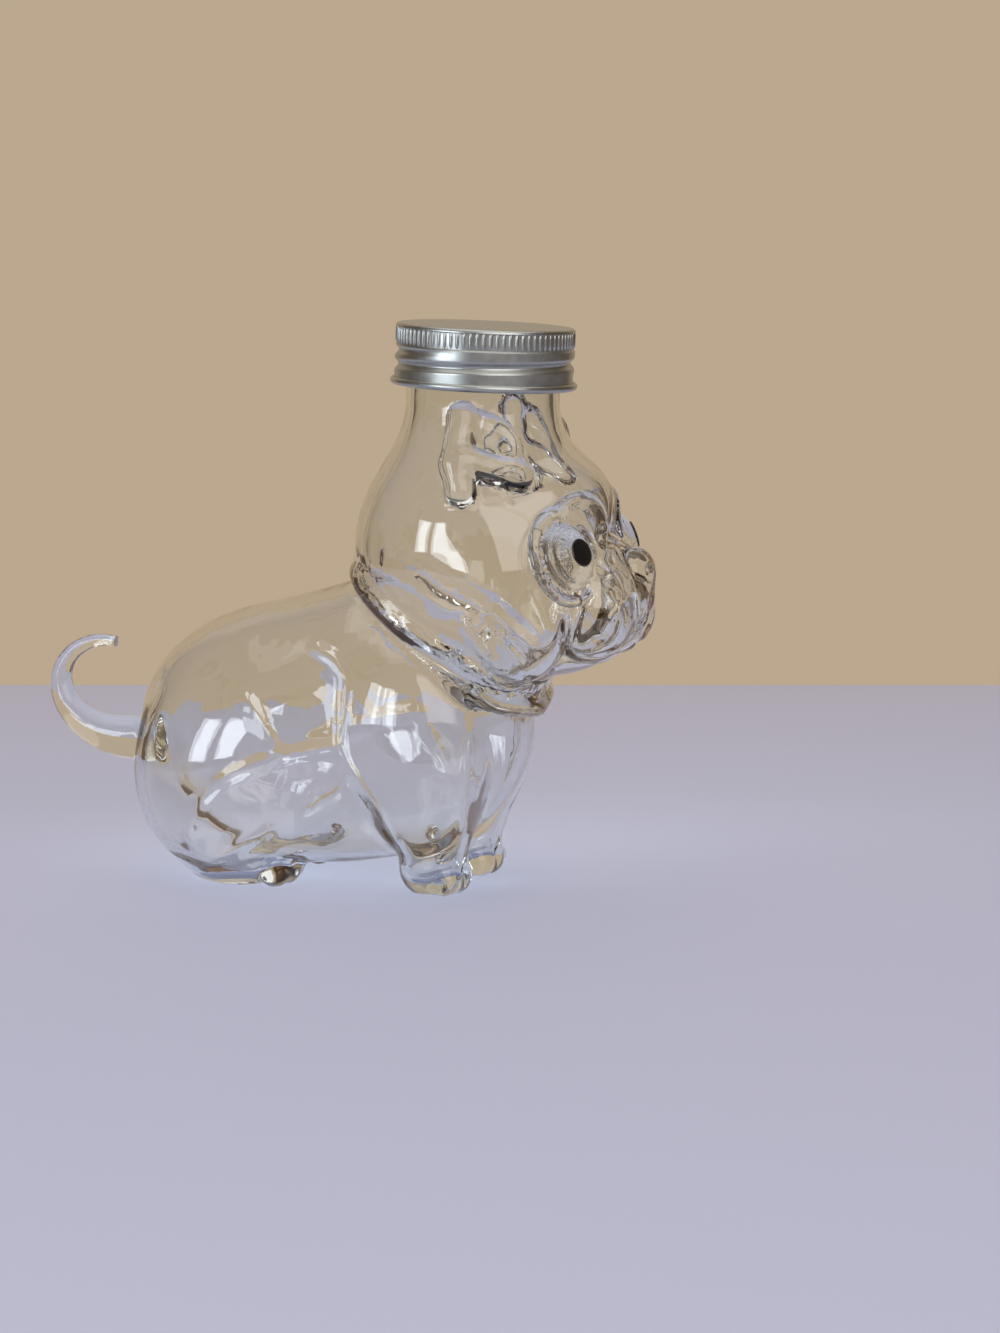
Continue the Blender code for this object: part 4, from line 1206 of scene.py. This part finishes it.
class DogJarStage(bpy.types.PropertyGroup):
    floor: colour("Floor", "Colour of the floor", (0.62, 0.65, 0.86))
    backdrop: colour("Backdrop", "Colour of the backdrop", (0.50, 0.39, 0.27))
    room: colour("Room", "Colour of the room round the stage", (0.13, 0.095, 0.065))
    floor_width: length("Width", "Width of the floor", 1.5)
    backdrop_width: length("Backdrop width", "Width of the backdrop", 0.84)
    floor_front: length("Front", "How far the floor reaches forward", 0.62)
    floor_back: length("Back", "How far the floor reaches back", 0.40)
    backdrop_height: length("Backdrop height", "Height of the backdrop", 0.62)
    window: power("Window", "Power of a window", 4.2)
    fill: power("Fill", "Power of the fill", 14.0)
    top: power("Top", "Power of the top light", 15.0)
    distance: length("Distance", "From the camera to the jar", 1.05)
    lens: FloatProperty(name="Lens", description="Focal length in millimetres", default=126.0)
    yaw: angle("Yaw", "Way the camera looks", 18.0)
    pitch: angle("Pitch", "How far the camera looks down", 8.0)


class DOGJAR_OT_glass(bpy.types.Operator):
    """Makes the blown glass with its ears and tail"""

    bl_idname = "dogjar.glass"
    bl_label = "Glass"

    def execute(self, context):
        settings = context.scene.dog_jar_glass
        look = glass_material(settings.tint, settings.ripple)
        nodes = ("jar_body", "tail", "ear_left", "ear_right")
        finished_piece("jar_glass", glass_mesh(), look, "jar", nodes)
        return {"FINISHED"}


class DOGJAR_OT_pupils(bpy.types.Operator):
    """Makes the enamel pupils"""

    bl_idname = "dogjar.pupils"
    bl_label = "Pupils"

    def execute(self, context):
        look = enamel_material(context.scene.dog_jar_glass.enamel)
        for side, name in ((1, "left"), (-1, "right")):
            mesh = facing_out(pupil_mesh(side))
            finished_piece(f"enamel_pupil_{name}", mesh, look, "jar", (f"pupil_{name}",))
        return {"FINISHED"}


class DOGJAR_OT_lid(bpy.types.Operator):
    """Makes the rolled lid with its knurl and finishes its liner"""

    bl_idname = "dogjar.lid"
    bl_label = "Lid and liner"

    def execute(self, context):
        settings = context.scene.dog_jar_lid
        look = aluminium_material(settings.metal)
        place = ACROSS @ NECK_MATRIX
        sheet = lid_mesh(settings)
        sheet.transform(place)
        finished_piece("lid_sheet", sheet, look, "lid", ("lid_shell",))
        knurl = knurl_mesh(settings, look)
        knurl.transform(place)
        finished_piece("lid_knurl", knurl, look, "lid", ())
        liner = frame["nodes"]["lid_liner"]
        liner.data.materials.clear()
        liner.data.materials.append(foam_material(settings.foam))
        return {"FINISHED"}


# The lamps by their setting, before the stage is turned, and the place they are aimed at
WINDOW_SIZE = (0.28, 0.65)
WINDOW_TINT = (0.84, 0.92, 1.0)
LAMPS = (
    ("window_left", "window", (-1.25, -0.85, 0.42), WINDOW_SIZE, WINDOW_TINT),
    ("window_right", "window", (-0.95, -1.15, 0.42), WINDOW_SIZE, WINDOW_TINT),
    ("fill", "fill", (0.7, -1.5, 1.0), (1.6, 1.4), (1.0, 0.97, 0.94)),
    ("top", "top", (0.0, 0.0, 1.8), (2.2, 2.2), (1.0, 0.98, 0.96)),
)
LAMP_AIM = Vector((0.0, 0.0, 0.07))
BACKDROP_GAP = 0.03
BACKDROP_LOW = -0.02

# The place the camera's distance is measured from, and how far off the frame's middle it is seen
SENSOR_WIDTH = 36.0
LOOK_HEIGHT = 0.080
LOOK_ASIDE = (483.0 - 500.0) / 3500.0
LOOK_ALOFT = (666.5 - 620.33) / 3500.0


def board(name, half, start, end, look, turn):
    """A flat board of the stage, to both sides of the middle, from one edge to the other."""
    mesh = bpy.data.meshes.new(name)
    corners = ((-half, *start), (half, *start), (half, *end), (-half, *end))
    mesh.from_pydata([turn @ Vector(corner) for corner in corners], [], [(0, 1, 2, 3)])
    mesh.materials.append(look)
    link(bpy.data.objects.new(name, mesh))


def area_light(name, place, aim, size, power, tint):
    data = bpy.data.lights.new(name, "AREA")
    data.shape = "RECTANGLE"
    data.size, data.size_y = size
    data.energy = power
    data.color = tint
    lamp = link(bpy.data.objects.new(name, data))
    lamp.location = place
    lamp.rotation_euler = (aim - place).to_track_quat("-Z", "Y").to_euler()


def aimed_camera(settings):
    """A camera that looks down at the jar, set so that the jar stands as in the photo."""
    yaw, pitch = settings.yaw, settings.pitch
    level = Vector((-math.sin(yaw), math.cos(yaw), 0.0))
    ahead = level * math.cos(pitch) - Vector((0.0, 0.0, math.sin(pitch)))
    right = Vector((math.cos(yaw), math.sin(yaw), 0.0))
    above = right.cross(ahead)
    data = bpy.data.cameras.new("camera")
    data.lens = settings.lens
    data.sensor_width = SENSOR_WIDTH
    data.sensor_fit = "HORIZONTAL"
    way = ahead + right * LOOK_ASIDE + above * LOOK_ALOFT
    eye = Vector((NECK.x, 0.0, LOOK_HEIGHT)) - way * settings.distance
    camera = link(bpy.data.objects.new("camera", data))
    stand = Matrix((right, above, -ahead)).transposed()
    camera.matrix_world = Matrix.Translation(eye) @ stand.to_4x4()
    return camera


class DOGJAR_OT_stage(bpy.types.Operator):
    """Sets the floor, the backdrop, the lights and the camera"""

    bl_idname = "dogjar.stage"
    bl_label = "Stage"

    def execute(self, context):
        settings = context.scene.dog_jar_stage
        turn = Matrix.Rotation(settings.yaw, 4, "Z")
        near, far = -settings.floor_front, settings.floor_back
        wall, high = far + BACKDROP_GAP, settings.backdrop_height
        floor, backdrop = floor_material(settings.floor), backdrop_material(settings.backdrop)
        board("floor", settings.floor_width / 2, (near, 0.0), (far, 0.0), floor, turn)
        half = settings.backdrop_width / 2
        board("backdrop", half, (wall, BACKDROP_LOW), (wall, high), backdrop, turn)

        world = bpy.data.worlds.new("room")
        world.use_nodes = True
        feed(world.node_tree.nodes["Background"], {"Color": (*settings.room, 1.0)})
        for name, setting, place, size, tint in LAMPS:
            place = turn @ Vector(place)
            area_light(name, place, turn @ LAMP_AIM, size, getattr(settings, setting), tint)
        context.scene.world = world
        context.scene.camera = aimed_camera(settings)
        context.scene.view_settings.view_transform = "Standard"
        return {"FINISHED"}


class DOGJAR_PT_panel(bpy.types.Panel):
    bl_label = "Dog jar"
    bl_idname = "DOGJAR_PT_panel"
    bl_space_type = "VIEW_3D"
    bl_region_type = "UI"
    bl_category = "Dog jar"

    def draw(self, context):
        for group, operators in PANEL_ROWS:
            settings = getattr(context.scene, group)
            box = self.layout.box()
            for name in settings.__annotations__:
                box.prop(settings, name)
            for operator in operators:
                box.operator(operator.bl_idname)


PANEL_ROWS = (
    ("dog_jar_glass", (DOGJAR_OT_glass, DOGJAR_OT_pupils)),
    ("dog_jar_lid", (DOGJAR_OT_lid,)),
    ("dog_jar_stage", (DOGJAR_OT_stage,)),
)
GROUPS = {"dog_jar_glass": DogJarGlass, "dog_jar_lid": DogJarLid, "dog_jar_stage": DogJarStage}
CLASSES = (
    DogJarGlass, DogJarLid, DogJarStage, DOGJAR_OT_glass, DOGJAR_OT_pupils, DOGJAR_OT_lid,
    DOGJAR_OT_stage, DOGJAR_PT_panel,
)


def register():
    for kind in CLASSES:
        bpy.utils.register_class(kind)
    for name, kind in GROUPS.items():
        setattr(bpy.types.Scene, name, PointerProperty(type=kind))


def unregister():
    for name in GROUPS:
        delattr(bpy.types.Scene, name)
    for kind in reversed(CLASSES):
        bpy.utils.unregister_class(kind)


def main():
    register()
    bpy.ops.dogjar.stage()
    bpy.ops.dogjar.glass()
    bpy.ops.dogjar.pupils()
    bpy.ops.dogjar.lid()


if __name__ == "__main__":
    main()
